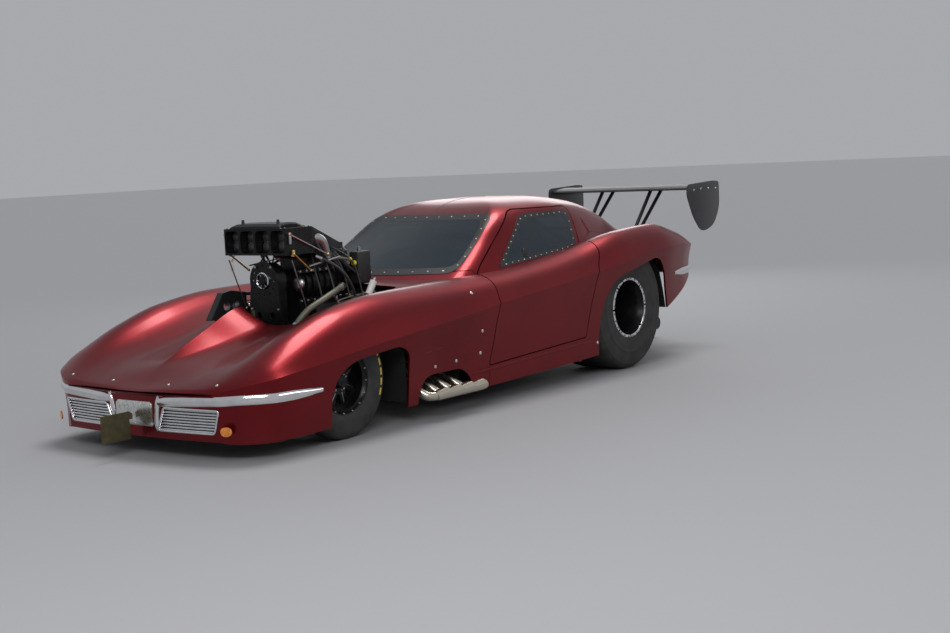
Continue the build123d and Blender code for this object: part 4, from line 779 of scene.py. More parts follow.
def door_outline(gap=SHUT):
    """A door's outline, or the opening that leaves a gap round it."""
    outline = rounded(DOOR_LINE, DOOR_ROUND)
    return grown(outline, gap) if gap else outline


body_solid = whole_body()

clip = copy_of(body_solid, "front_clip_skin")
carve(clip, side_cutter(CLIP_LINE), "INTERSECT")
for side, hand in SIDES:
    carve(clip, side_cutter(rounded(FRONT_ARCH, FRONT_ARCH_ROUND), side))
    carve(clip, side_cutter(rounded(HEADER_NOTCH, NOTCH_ROUND), side))
    carve(clip, side_cutter(door_outline(), side, 0.4))
    opening = [(side * y, z) for y, z in GRILLE_CORNERS]
    carve(clip, cutter(rounded(opening, GRILLE_ROUND), *NOSE_REACH, "x"))
carve(clip, cutter(rounded(shifted(ENGINE_HOLE), ENGINE_HOLE_ROUND), *HOOD_REACH, "z"))
skinned(clip)
settle(clip, "root", "front_clip", slot="candy_paint")


def front_view(half, grow=0.0, radius=0.07):
    """A closed outline in the front view from its left half's lower and upper corner."""
    (y0, z0), (y1, z1) = half
    y0, z0, y1, z1 = y0 + grow, z0 - grow, y1 + grow, z1 + grow
    return rounded([(y0, z0), (y1, z1), (-y1, z1), (-y0, z0)], radius)


WINDSHIELD_REACH = (FA - 2.2, FA - 0.9)
REAR_REACH = (FA - 3.95, FA - 2.90)
cabin = copy_of(body_solid, "cabin_shell_skin")
carve(cabin, side_cutter(grown(CLIP_LINE, SEAM)))
carve(cabin, cutter(front_view(WINDSHIELD), *WINDSHIELD_REACH, "x"))
carve(cabin, cutter(front_view(REAR_GLASS), *REAR_REACH, "x"))
for side, hand in SIDES:
    carve(cabin, side_cutter(door_outline(), side, DOOR_DEPTH))
    carve(cabin, side_cutter(rounded(REAR_ARCH, REAR_ARCH_ROUND), side))
skinned(cabin)
settle(cabin, "root", "cabin_shell", slot="candy_paint")

for side, hand in SIDES:
    door = copy_of(body_solid, f"door_panel_{hand}")
    carve(door, side_cutter(door_outline(0), side, DOOR_DEPTH), "INTERSECT")
    carve(door, side_cutter(rounded_glass(0), side, *DOOR_GLASS_REACH))
    skinned(door)
    settle(door, f"door_{hand}", f"door_{hand}", slot="candy_paint")

# Windows: a clear pane inside a black border that lies on the painted flange
BORDER = 0.034
BORDER_OUTSIDE, BORDER_INSIDE = BORDER * 0.35, BORDER * 0.65
PANE_PROUD = 0.0025
REAR_GLASS_ROUND = 0.05


def pane(name, border_name, opening):
    """A clear pane and its black border, cut from a cabin skin that stands a little proud.

    Opening gives the window's cutter, grown by an amount.
    """
    clear = cabin_solid()
    modify(clear, "DISPLACE", strength=PANE_PROUD, mid_level=0)
    border = copy_of(coated(clear, BLACK_EDGE), border_name)
    carve(border, carve(opening(BORDER_OUTSIDE), opening(-BORDER_INSIDE)), "INTERSECT")
    skinned(border, GLASS)
    carve(named(clear, name), opening(-BORDER_INSIDE), "INTERSECT")
    skinned(clear, GLASS)
    clear.data.materials[0] = WINDOW
    return clear, border


screen, screen_edge = pane(
    "windshield_pane", "windshield_border",
    lambda grow: cutter(front_view(WINDSHIELD, grow), *WINDSHIELD_REACH, "x"),
)
settle(screen, "root", "windshield", slot="window")
settle(screen_edge, "root")
back, back_edge = pane(
    "rear_window_pane", "rear_window_border",
    lambda grow: cutter(front_view(REAR_GLASS, grow, REAR_GLASS_ROUND), *REAR_REACH, "x"),
)
settle(back, "root", "rear_window", slot="window")
settle(back_edge, "root")
for side, hand in SIDES:
    clear, border = pane(
        f"door_pane_{hand}", f"door_pane_border_{hand}",
        lambda grow: side_cutter(rounded_glass(grow), side, DOOR_GLASS_REACH[0]),
    )
    settle(clear, f"door_{hand}", f"door_window_{hand}", slot="window")
    settle(border, f"door_{hand}")
bpy.data.objects.remove(body_solid)

# Places on the painted skins
def surface(piece):
    return BVHTree.FromObject(piece, bpy.context.evaluated_depsgraph_get())


def hit(tree, start, direction):
    """Where a line first meets a skin, and the skin's normal there towards the line's start."""
    direction = Vector(direction).normalized()
    place, normal, _, _ = tree.ray_cast(Vector(start), direction)
    if place is None:
        return None
    return place, normal if normal.dot(direction) < 0 else -normal


def from_side(tree, x, z, side):
    return hit(tree, (FA + x, side * 1.4, z), (0, -side, 0))


def from_front(tree, y, z):
    return hit(tree, (FA + 1.4, y, z), (-1, 0, 0))


def from_above(tree, x, y):
    return hit(tree, (FA + x, y, 1.6), (0, 0, -1))


def line_between(start, end, steps):
    start, end = Vector(start), Vector(end)
    return [start.lerp(end, i / steps) for i in range(steps + 1)]


def found(hits):
    return [spot for spot in hits if spot]


def evenly(hits, spacing):
    """Of close places along a line, those that lie about a spacing apart."""
    made, run = [hits[0]], 0
    for here, there in zip(hits, hits[1:]):
        run += (there[0] - here[0]).length
        if run >= spacing:
            made.append(there)
            run = 0
    return made


def dense(outline, pitch=0.006):
    made = []
    for start, end in zip(outline, outline[1:] + outline[:1]):
        steps = max(int(hypot(end[0] - start[0], end[1] - start[1]) / pitch), 1)
        made += [tuple(p) for p in line_between(start, end, steps)[:-1]]
    return made


MOULDING = ((-0.5, -0.6), (-0.46, 0.3), (-0.3, 0.8), (0, 1), (0.3, 0.8), (0.46, 0.3), (0.5, -0.6))


def laid_strip(name, hits, width, height, material, fade=0):
    """A moulding along places on a skin, thinner over the given number of places at its ends."""
    rows = []
    last = len(hits) - 1
    for i, (place, normal) in enumerate(hits):
        along = (hits[min(i + 1, last)][0] - hits[max(i - 1, 0)][0]).normalized()
        across = along.cross(normal).normalized()
        share = min(1, (min(i, last - i) + 0.4) / fade) if fade else 1
        across, up = across * (width * share), normal * (height * share)
        rows.append([place + across * a + up * h for a, h in MOULDING])
    return lattice(name, rows, material, 45)


def dome(radius, material, height=0.45):
    """A domed head on the origin, rising along +Z."""
    bpy.ops.mesh.primitive_uv_sphere_add(segments=12, ring_count=8, radius=radius, scale=(1, 1, height))
    return smooth(fresh("dome", material), 60)


def hex_head(size, height, material):
    """A six-sided bolt head with a washer, on the origin, rising along +Z."""
    bpy.ops.mesh.primitive_cylinder_add(
        vertices=6, radius=size * 0.5, depth=height, location=(0, 0, height * 0.5)
    )
    head = modify(fresh("head", material), "BEVEL", width=height * 0.15, segments=1)
    bpy.ops.mesh.primitive_cylinder_add(vertices=16, radius=size * 0.68, depth=height * 0.2)
    return smooth(joined("hex_head", [head, fresh("washer", material)]))


def scattered(name, model, places):
    """Copies of a model joined as one piece, each with its +Z along the direction at its place."""
    copies = []
    for place, normal in places:
        made = model.copy()
        made.data = model.data.copy()
        turn = Vector(normal).to_track_quat("Z", "Y").to_matrix().to_4x4()
        made.data.transform(Matrix.Translation(Vector(place)) @ turn)
        bpy.context.scene.collection.objects.link(made)
        copies.append(made)
    bpy.data.objects.remove(model)
    return joined(name, copies)


clip_skin = surface(clip)
cabin_skin = surface(cabin)


def run_on(skin, side, start, end, steps):
    """Places on a flank along a line in the side view."""
    return found([from_side(skin, p.x, p.y, side) for p in line_between(start, end, steps)])


def window_fasteners(name, border, look, outline, radius, spacing, body="root"):
    """Domed heads evenly spaced round a window. Look finds the border's face at a point of the outline."""
    skin = surface(border)
    spots = found([look(skin, *point) for point in dense(outline)])
    settle(scattered(name, dome(radius, BRIGHT), evenly(spots, spacing)), body)


# Fasteners round the windows
FASTENER_LINE = -BORDER * 0.1
window_fasteners(
    "windshield_fasteners", screen_edge, lambda skin, y, z: hit(skin, (FA, y, z), (-1, 0, 0)),
    front_view(WINDSHIELD, FASTENER_LINE), 0.0052, 0.098,
)
window_fasteners(
    "rear_window_fasteners", back_edge, lambda skin, y, z: hit(skin, (FA - 4.4, y, z), (1, 0, 0)),
    front_view(REAR_GLASS, FASTENER_LINE, REAR_GLASS_ROUND), 0.0048, 0.075,
)
AIR_HOLE = (-1.955, 0.905)
for side, hand in SIDES:
    window_fasteners(
        f"door_pane_fasteners_{hand}", bpy.data.objects[f"door_pane_border_{hand}"],
        lambda skin, x, z: from_side(skin, x, z, side), rounded_glass(-BORDER * 0.12), 0.0046, 0.062,
        f"door_{hand}",
    )
    # Round air hole in the pane: a black flange round a near-black disc, painted shade standing for the open
    # hole
    place, normal = from_side(surface(bpy.data.objects[f"door_pane_{hand}"]), *AIR_HOLE, side)
    turn = normal.to_track_quat("Z", "Y").to_euler()
    bpy.ops.mesh.primitive_torus_add(
        major_radius=0.026, minor_radius=0.0045, major_segments=32, minor_segments=8,
        location=place, rotation=turn,
    )
    flange = smooth(fresh("flange", BLACK_SATIN), 60)
    bpy.ops.mesh.primitive_cylinder_add(
        vertices=32, radius=0.0245, depth=0.006, location=place, rotation=turn
    )
    plug = modify(fresh("plug", LINER_AND_SHADE), "BEVEL", width=0.0015, segments=2)
    settle(joined(f"door_pane_air_hole_{hand}", [flange, smooth(plug)]), f"door_{hand}")

# Fasteners and raised lines on the painted panels
FLANK_BUTTONS = (
    (-1.131, 0.721), (-1.168, 0.480), (-1.160, 0.343), (-0.918, 0.326), (-0.715, 0.318), (-2.470, 0.243),
)
HOOD_LIP_BUTTONS = (-0.61, -0.235, 0.235, 0.61)
for side, hand in SIDES:
    spots = found([
        from_side(clip_skin, x, z, side) or from_side(cabin_skin, x, z, side) for x, z in FLANK_BUTTONS
    ])
    settle(scattered(f"flank_fasteners_{hand}", dome(0.0115, BRIGHT, 0.35), spots), "root")
    run = run_on(clip_skin, side, (-0.562, 0.414), (-0.815, 0.430), 14)
    settle(
        laid_strip(f"fender_gills_{hand}", run, 0.016, 0.005, PAINT, fade=5), "root", slot="candy_paint"
    )
    run = run_on(clip_skin, side, (-1.06, 0.222), (-1.235, 0.226), 6)
    run += run_on(cabin_skin, side, (-1.27, 0.228), (-2.42, 0.262), 30)
    settle(
        laid_strip(f"rocker_crease_{hand}", run, 0.022, 0.006, PAINT, fade=4), "root", slot="candy_paint"
    )
    run = run_on(cabin_skin, side, (-2.792, 1.095), (-2.832, 0.975), 10)
    settle(laid_strip(f"pillar_vent_{hand}", run, 0.020, 0.006, PAINT, fade=3), "root", slot="candy_paint")
spots = found([from_above(clip_skin, 0.795 - 0.03 * abs(y), y) for y in HOOD_LIP_BUTTONS])
settle(scattered("hood_lip_fasteners", dome(0.009, BRIGHT, 0.4), spots), "root")
run = found([from_above(cabin_skin, p.x, 0) for p in line_between((-1.90, 0), (-2.72, 0), 24)])
settle(laid_strip("roof_seam", run, 0.007, 0.0016, BLACK_EDGE), "root")

# Nose: chrome blades, their inner returns, the grilles and the panel between them
BLADE_MIDDLE = 0.306
BLADE_HALF = 0.026
BLADE_RISE = 0.028  # from the middle of the nose to its corners
BLADE_SECTION = (
    (-0.004, -1.0), (0.006, -1.0), (0.012, -0.62), (0.0145, 0), (0.012, 0.62), (0.006, 1.0), (-0.004, 1.0),
)
GRILLE_FACE = 0.836
NOSE_LEAN = 0.010 / 0.231
BAR_COUNT = 8


def blade(skin, middle, reach, angles, lifts, allowed, start, end):
    """A chrome blade round a corner of the body, found by rays that run in towards a middle.

    Start and end give the height's share at an end and its gain from place to place.
    """
    spots = []
    for a, lift in zip(angles, lifts):
        way = Vector((cos(a), sin(a), 0))
        spot = hit(skin, middle + Vector((0, 0, lift)) + way * reach, -way)
        if spot and allowed(spot[0]):
            spots.append((spot[0], Vector((spot[1].x, spot[1].y, 0)).normalized()))
    rows = []
    for i, (place, normal) in enumerate(spots):
        share = min(1, start[0] + i * start[1]) * min(1, end[0] + (len(spots) - 1 - i) * end[1])
        rows.append([
            place + normal * out + Vector((0, 0, rise * BLADE_HALF * share)) for out, rise in BLADE_SECTION
        ])
    return lattice("blade", rows, CHROME, 50)


blades = []
for side, hand in SIDES:
    blades.append(blade(
        clip_skin, Vector((FA + 0.25, side * 0.25, BLADE_MIDDLE)), 1.2,
        [side * radians(-4.5 + 91 * i / 48) for i in range(49)],
        [BLADE_RISE * min(i / 26, 1) for i in range(49)],
        lambda place: place.z > 0, (0.72, 0.1), (0.55, 0.05),
    ))
    # The blade's inner end turns down beside the grille
    run = found([
        from_front(clip_skin, side * (0.176 + 0.032 * (1 - t) ** 2), 0.344 - 0.200 * t)
        for t in [i / 12 for i in range(13)]
    ])
    blades.append(laid_strip("blade_return", run, 0.034, 0.014, CHROME, fade=2))
for side, hand in SIDES:
    blades.append(blade(
        cabin_skin, Vector((RA - 0.75, side * 0.45, 0.628)), 1.0,
        [side * radians(192 - 118 * i / 36) for i in range(37)], [0] * 37,
        lambda place: abs(place.y) > 0.40 and place.x < RA - 0.60, (0.6, 0.08), (0.45, 0.08),
    ))
settle(joined("bumper_blades", blades), "root", "bumpers", slot="chrome_trim")


def grille_ends(z):
    """How near and how far from the middle the grille reaches at a height."""
    (near_low, _), (far_low, _), (far_high, _), (near_high, _) = GRILLE_CORNERS
    share = (z - GRILLE_LOW) / (GRILLE_HIGH - GRILLE_LOW)
    return near_low + (near_high - near_low) * share, far_low + (far_high - far_low) * share


def nose_face(y, z, back=0.0):
    """The nose's flat face, which leans forward a little towards its top."""
    return FA + GRILLE_FACE + NOSE_LEAN * (z - STATIONS[2][1]) + bow(GRILLE_FACE, y) - back


grille_pieces = []
BAR_SECTION = (
    (-0.018, -0.0040), (-0.004, -0.0062), (0, -0.0040), (0.0015, 0), (0, 0.0040), (-0.004, 0.0058),
    (-0.018, 0.0020),
)
BACKING_SECTION = (
    (0.030, GRILLE_LOW - 0.006), (0.030, GRILLE_HIGH + 0.006),
    (0.026, GRILLE_HIGH + 0.006), (0.026, GRILLE_LOW - 0.006),
)
for side, hand in SIDES:
    pitch = (GRILLE_HIGH - GRILLE_LOW) / BAR_COUNT
    for i in range(BAR_COUNT):
        z = GRILLE_LOW + pitch * (i + 0.5)
        near, far = grille_ends(z)
        rows = []
        for t in range(13):
            y = near + 0.002 + (far - near - 0.004) * t / 12
            rows.append([(nose_face(y, z, 0.003) + dx, side * y, z + dz) for dx, dz in BAR_SECTION])
        grille_pieces.append(lattice("bar", rows, CHROME, 50))
    backing = [
        [(nose_face(y, z, back), side * y, z) for back, z in BACKING_SECTION]
        for y in [0.180 + 0.465 * t / 10 for t in range(11)]
    ]
    grille_pieces.append(lattice("backing", backing, STEEL))
    corners = rounded(GRILLE_CORNERS, GRILLE_ROUND)
    path = [Vector((nose_face(y, z) + 0.002, side * y, z)) for y, z in dense(corners, 0.02)]
    rows = []
    for i, spot in enumerate(path):
        along = (path[(i + 1) % len(path)] - path[i - 1]).normalized()
        outwards = Vector((1, 0, 0))
        across = along.cross(outwards).normalized()
        rows.append([spot + outwards * a + across * b for a, b in around(0.007, 8)])
    grille_pieces.append(lattice("frame", rows + rows[:1], CHROME, 60, caps=False))
settle(joined("grille_bars", grille_pieces), "root", "grilles", slot="chrome_trim")

panel_rows = []
for y in [-0.152 + 0.304 * t / 16 for t in range(17)]:
    inset = 0.012 * (max(abs(y) - 0.135, 0) / 0.017) ** 2  # the panel's rounded ends
    low, high = 0.166 + inset, 0.304 - inset
    section = [
        (0.001, low), (0.0045, 0.171 + inset), (0.007, 0.200), (0.0085, 0.236), (0.007, 0.270),
        (0.0045, 0.299 - inset), (0.001, high), (-0.003, high), (-0.003, low),
    ]
    panel_rows.append([(nose_face(y, z) + out, y, z) for out, z in section])
panel = lattice("nose_plate", panel_rows, BRIGHT, 40)
spots = [
    ((nose_face(y, z) + 0.006, y, z), (1, 0, 0)) for y in (-0.138, 0, 0.138) for z in (0.180, 0.291)
]
panel = joined("nose_chrome_panel", [panel, scattered("panel_buttons", dome(0.0062, BRIGHT), spots)])
settle(panel, "root", "nose_panel", slot="chrome_trim")


# Wheels
def wheel_ring(outline, side):
    """An outline whose first number runs outwards on the given side of the car."""
    return [(out * side, radius) for out, radius in outline]


def wheel_windows(face, centre, count, corners, radius, low, high):
    """Cuts a ring of rounded windows through a wheel's face. Corners are (distance from the axle, angle)."""
    x, _, z = centre
    for i in range(count):
        a = 2 * pi * i / count
        outline = rounded([(x + r * cos(a + h), z + r * sin(a + h)) for r, h in corners], radius, 3)
        carve(face, cutter(outline, low, high, "y", BLACK_METAL))
    return smooth(face, 32)


def bolt_ring(name, model, centre, side, out, radius, count, phase):
    """Copies of a bolt head round an axle, facing outwards at a distance from the wheel's middle."""
    x, y, z = centre
    spots = [((x + dx, y + side * out, z + dz), (0, side, 0)) for dx, dz in around(radius, count, phase)]
    return scattered(name, model, spots)


FRONT_TREAD = (
    (-0.049, 0.194), (-0.058, 0.212), (-0.0645, 0.248), (-0.0635, 0.284), (-0.0585, 0.309),
    (-0.051, 0.3215), (-0.043, 0.3265),
    (-0.037, 0.3280), (-0.0365, 0.322), (-0.0325, 0.322), (-0.032, 0.3288), (-0.014, 0.3298),
    (-0.0135, 0.323), (-0.0095, 0.323),
    (-0.009, 0.330), (0.009, 0.330), (0.0095, 0.323), (0.0135, 0.323), (0.014, 0.3298),
    (0.032, 0.3288), (0.0325, 0.322),
    (0.0365, 0.322), (0.037, 0.3280), (0.043, 0.3265), (0.051, 0.3215), (0.0585, 0.309),
    (0.0635, 0.284), (0.0645, 0.248),
    (0.0605, 0.220), (0.0598, 0.2165), (0.056, 0.212), (0.049, 0.194), (0.043, 0.199), (0.054, 0.25),
    (0.049, 0.298), (0.03, 0.314),
    (-0.03, 0.314), (-0.049, 0.298), (-0.054, 0.25), (-0.043, 0.199),
)
FRONT_BARREL = (
    (-0.046, 0.1965), (-0.042, 0.1965), (-0.040, 0.190), (-0.028, 0.188), (-0.020, 0.176),
    (0.018, 0.176), (0.028, 0.188),
    (0.040, 0.190), (0.042, 0.1975), (0.047, 0.1985), (0.0485, 0.194), (0.046, 0.186), (0.034, 0.180),
    (0.026, 0.170),
    (-0.024, 0.170), (-0.034, 0.181), (-0.046, 0.187),
)
REAR_TREAD = (
    (-0.200, 0.206), (-0.210, 0.232), (-0.2185, 0.29), (-0.2195, 0.34), (-0.214, 0.39),
    (-0.203, 0.418), (-0.186, 0.4305), (-0.15, 0.4362),
    (0, 0.438), (0.15, 0.4362), (0.186, 0.4305), (0.203, 0.418), (0.2085, 0.4055), (0.2110, 0.4035),
    (0.2120, 0.398), (0.2165, 0.37),
    (0.2195, 0.34), (0.2205, 0.318), (0.2220, 0.3155), (0.2205, 0.312), (0.2175, 0.285),
    (0.210, 0.242), (0.2065, 0.228), (0.200, 0.206),
    (0.190, 0.212), (0.200, 0.28), (0.202, 0.34), (0.195, 0.39), (0.178, 0.412), (-0.178, 0.412),
    (-0.195, 0.39), (-0.202, 0.34),
    (-0.200, 0.28), (-0.190, 0.212),
)
REAR_BARREL = (
    (-0.200, 0.214), (-0.194, 0.214), (-0.190, 0.203), (-0.165, 0.200), (-0.150, 0.186),
    (0.150, 0.186), (0.168, 0.200),
    (0.190, 0.203), (0.194, 0.213), (0.200, 0.214), (0.202, 0.205), (0.186, 0.195), (0.168, 0.190),
    (0.148, 0.178),
    (-0.148, 0.178), (-0.168, 0.192), (-0.200, 0.205),
)


def arc_solid(name, centre, side, section, angles, material, degrees=None):
    """A solid swept round an axle through the given angles. The section is (outwards, radius)."""
    cx, cy, cz = centre
    rows = [[(cx + r * cos(a), cy + side * out, cz + r * sin(a)) for out, r in section] for a in angles]
    return lattice(name, rows, material, degrees)


DASH_SECTION = ((0.0638, 0.286), (0.0605, 0.302), (0.0575, 0.302), (0.0608, 0.286))
DASHES, DASH_WIDTH, DASH_PITCH = 5, 8.0, 11.5  # in each row; width and pitch in degrees
FACE_AT = -0.030  # the front wheel's face, outwards from the wheel's middle
FRONT_DISH = (
    (FACE_AT - 0.016, 0.020), (FACE_AT - 0.004, 0.172), (FACE_AT + 0.006, 0.172), (FACE_AT + 0.004, 0.150),
    (FACE_AT + 0.012, 0.120), (FACE_AT + 0.020, 0.070), (FACE_AT + 0.022, 0.045), (FACE_AT + 0.022, 0.020),
)
FRONT_HUB = (
    (FACE_AT, 0.002), (FACE_AT, 0.042), (FACE_AT + 0.030, 0.042), (FACE_AT + 0.034, 0.038),
    (FACE_AT + 0.050, 0.034), (FACE_AT + 0.054, 0.030), (FACE_AT + 0.056, 0.002),
)
FRONT_WINDOW = ((0.078, -0.16), (0.142, -0.235), (0.142, 0.235), (0.078, 0.16))
BRAKE_DISC = ((-0.060, 0.055), (-0.060, 0.135), (-0.0535, 0.135), (-0.0535, 0.055))
for side, hand in SIDES:
    centre = (FA, side * FRONT_TRACK, FRONT_RADIUS)
    body = f"front_wheel_{hand}"
    tyre = turned(f"front_tyre_skin_{hand}", wheel_ring(FRONT_TREAD, side), centre, RUBBER, 80)
    settle(tyre, body, f"front_tyre_{hand}", slot="tyre_rubber")
    dashes = []
    for middle in (178, -2):
        for i in range(DASHES):
            start = middle + (i - DASHES / 2) * DASH_PITCH
            angles = [radians(start + DASH_WIDTH * step / 5) for step in range(6)]
            dashes.append(arc_solid("dash", centre, side, DASH_SECTION, angles, DULL_YELLOW))
    settle(joined(f"front_tyre_marks_{hand}", dashes), body)
    barrel = turned("barrel", wheel_ring(FRONT_BARREL, side), centre, BLACK_METAL, 64)
    face = turned("face", wheel_ring(FRONT_DISH, side), centre, BLACK_METAL, 64)
    wheel_windows(face, centre, 8, FRONT_WINDOW, 0.014, centre[1] - 0.09, centre[1] + 0.09)
    hub = turned("hub", wheel_ring(FRONT_HUB, side), centre, BLACK_METAL, 40)
    nuts = bolt_ring("nuts", hex_head(0.019, 0.016, STEEL), centre, side, FACE_AT + 0.020, 0.058, 5, 0.3)
    edge_bolts = bolt_ring(
        "edge_bolts", hex_head(0.0085, 0.006, ALLOY), centre, side, 0.040, 0.1835, 16, 0.1
    )
    # A rib between each two windows
    inner, outer = (around(radius, 8, pi / 8, (FA, FRONT_RADIUS)) for radius in (0.072, 0.150))
    ribs = [
        bar("rib", (x0, centre[1] + side * (FACE_AT + 0.021), z0),
            (x1, centre[1] + side * (FACE_AT + 0.006), z1), 0.0048, ALLOY, 10, 0.003)
        for (x0, z0), (x1, z1) in zip(inner, outer)
    ]
    rim = joined(f"front_wheel_{hand}_rim", [barrel, face, hub, nuts, edge_bolts] + ribs)
    settle(rim, body, f"front_rim_{hand}", slot="black_wheel")
    settle(turned(f"brake_disc_{hand}", wheel_ring(BRAKE_DISC, side), centre, STEEL, 48), body)

REAR_DISH = (
    (-0.088, 0.012), (-0.088, 0.060), (-0.098, 0.110), (-0.090, 0.160), (-0.070, 0.180), (-0.064, 0.180),
    (-0.083, 0.158), (-0.090, 0.110), (-0.080, 0.060), (-0.076, 0.050), (-0.076, 0.012),
)
REAR_WINDOW = ((0.088, -0.14), (0.146, -0.17), (0.146, 0.17), (0.088, 0.14))
REAR_CAP = (
    (-0.078, 0.002), (-0.078, 0.046), (-0.060, 0.046), (-0.056, 0.042), (-0.030, 0.038), (-0.026, 0.032),
    (-0.024, 0.002),
)
LOCK_SECTION = (
    (0.2005, 0.196), (0.208, 0.196), (0.211, 0.200), (0.211, 0.212), (0.2075, 0.2155), (0.2005, 0.2155),
)
rear_skins, barrels = [], []
for side, hand in SIDES:
    centre = (RA, side * REAR_TRACK, REAR_RADIUS)
    rear_skins.append(turned("tyre", wheel_ring(REAR_TREAD, side), centre, RUBBER, 96))
    barrel = turned("barrel", wheel_ring(REAR_BARREL, side), centre, BLACK_METAL, 72)
    lock = []
    for i in range(8):
        angles = [2 * pi * (i + 0.04 + 0.92 * step / 8) / 8 for step in range(9)]
        lock.append(arc_solid("lock", centre, side, LOCK_SECTION, angles, CHROME, 40))
    bolts = bolt_ring("lock_bolts", hex_head(0.0105, 0.006, STEEL), centre, side, 0.2105, 0.206, 24, 0.13)
    dish = turned("dish", wheel_ring(REAR_DISH, side), centre, BLACK_METAL, 64)
    low, high = sorted((centre[1] - side * 0.12, centre[1] - side * 0.04))
    wheel_windows(dish, centre, 10, REAR_WINDOW, 0.012, low, high)
    cap = turned("cap", wheel_ring(REAR_CAP, side), centre, ALLOY, 40)
    nuts = bolt_ring("nuts", hex_head(0.026, 0.020, ALLOY), centre, side, -0.080, 0.068, 5, 0.5)
    barrels += [barrel, bolts, dish, cap, nuts] + lock
settle(joined("rear_tyre_skins", rear_skins), "rear_axle", "rear_tyres", slot="tyre_rubber")
settle(joined("rear_wheel_barrels", barrels), "rear_axle", "rear_rims", slot="bare_aluminium")

# Engine: the hat's flaps and lid, its ducts and linkage, the drive's cover, hoses, caps and fittings
HAT_LOW, HAT_TOP = 1.030, 1.190
FLAP_X = FA - 0.218
FLAP_SECTION = (
    (0, -0.050), (0.004, -0.03), (0.005, 0), (0.004, 0.03), (0, 0.050), (-0.004, 0.050), (-0.004, -0.050),
)
LID_RIBS = (  # x from the front axle, half width and rise
    (-0.155, 0.237, 0.0), (-0.162, 0.220, 0.012), (-0.185, 0.190, 0.026), (-0.28, 0.180, 0.032),
    (-0.35, 0.17, 0.026), (-0.375, 0.20, 0.010), (-0.382, 0.225, 0.0),
)
hat_bits = []
for i in range(4):
    y = -0.195 + 0.13 * i
    for low, high in ((HAT_LOW + 0.016, 1.108), (1.112, HAT_TOP - 0.016)):
        rows = []
        for t in range(7):
            x, z = FLAP_X + 0.012 * sin(pi * t / 6), low + (high - low) * t / 6
            rows.append([(x + dx, y + dy, z) for dx, dy in FLAP_SECTION])
        hat_bits.append(lattice("flap", rows, CAST, 50))
    hat_bits.append(bar("shaft", at(1, -0.212, y - 0.052, 1.110), at(1, -0.212, y + 0.052, 1.110), 0.0028,
                        BRIGHT, 10))
settle(joined("hat_flaps", hat_bits), "root")
lid_rows = []
for x, half, rise in LID_RIBS:
    z = HAT_TOP + rise
    section = (
        (-half, z - 0.010), (-half * 0.93, z), (0, z + 0.003), (half * 0.93, z), (half, z - 0.010),
        (half, HAT_TOP - 0.012), (-half, HAT_TOP - 0.012),
    )
    lid_rows.append([(FA + x, y, z) for y, z in section])
lid = lattice("lid", lid_rows, BLACK_METAL, 25)
knobs = [
    bar("knob", at(1, -0.21, y, HAT_TOP + 0.02), at(1, -0.21, y, HAT_TOP + 0.052), 0.011, BLACK_SATIN, 16,
        0.008)
    for y in (-0.15, 0.15)
]
lid_bolts = scattered("lid_bolts", hex_head(0.010, 0.006, STEEL), [
    ((FA + x, y, HAT_TOP + 0.001), (0, 0, 1)) for x in (-0.165, -0.368) for y in (-0.247, 0.247)
])
settle(joined("hat_lid", [lid, lid_bolts] + knobs), "root")

# Grey duct shoulders behind the hat's ends, and the throttle linkage beside them
HAT_DUCT = ((-0.36, 0.215, 1.125), (-0.47, 0.215, 1.12), (-0.54, 0.205, 1.06), (-0.56, 0.19, 0.965))
RODS = (
    ((-0.172, 0.277, 1.155), (-0.500, 0.268, 1.010), 0.0042, ALLOY, 10),
    ((-0.200, 0.277, 1.035), (-0.345, 0.268, 0.925), 0.0060, GOLD, 12),
    ((-0.186, 0.270, 1.000), (-0.300, 0.262, 0.690), 0.0042, STEEL, 10),
    ((-0.345, 0.262, 0.952), (-0.640, 0.235, 0.985), 0.0055, ALLOY, 10),
)
ROD_ENDS = (
    (-0.172, 0.277, 1.155), (-0.500, 0.268, 1.010), (-0.200, 0.277, 1.035), (-0.345, 0.268, 0.925),
    (-0.300, 0.262, 0.690),
)
for side, hand in SIDES:
    path = [at(side, *place) for place in HAT_DUCT]
    settle(pipe(f"hat_duct_{hand}", path, 0.034, ALLOY, 24, 10), "root")
    rods = [
        bar("rod", at(side, *start), at(side, *end), radius, material, sides)
        for start, end, radius, material, sides in RODS
    ]
    arms = [
        brick("arm", (FA - 0.190, side * 0.266 - 0.006, 1.095), (FA - 0.172, side * 0.270 + 0.006, 1.165),
              ALLOY, 0.003),
        brick("arm", (FA - 0.212, side * 0.266 - 0.006, 1.020), (FA - 0.190, side * 0.272 + 0.006, 1.060),
              GOLD, 0.003),
    ]
    ends = scattered("rod_ends", dome(0.0095, GOLD, 1.0), [(at(side, *p), (0, side, 0)) for p in ROD_ENDS])
    settle(joined(f"throttle_linkage_{hand}", rods + arms + [ends]), "root")

# Drive cover: a dark plate over the belt, with a ring of holes round the upper pulley and a bright hub ring
PULLEY_Z = 0.872
COVER_X = FA - 0.216
PULLEY = (0, PULLEY_Z)
COVER_HOLES = [(*spot, 0.0075, 12, STEEL) for spot in around(0.091, 12, 0.0, PULLEY)]
# The three lower holes get near-black walls: painted shade inside them
COVER_HOLES += [(y, z, radius, 20, LINER_AND_SHADE) for y, z, radius in (
    (0.055, 0.66, 0.022), (-0.055, 0.66, 0.022), (0, 0.60, 0.020),
)]
COVER_BOLTS = (
    (-0.128, 0.565), (0.128, 0.565), (-0.112, 0.70), (0.112, 0.70), (0.066, 0.955), (-0.066, 0.955),
)
outline = [
    (0.118 * cos(a), PULLEY_Z + 0.118 * sin(a)) for a in [radians(-14 + 208 * i / 24) for i in range(25)]
]
outline += [(-0.150, 0.560), (-0.120, 0.520), (0.120, 0.520), (0.150, 0.560)]
cover = prism("cover", outline, COVER_X, COVER_X + 0.010, "x", BLACK_METAL)
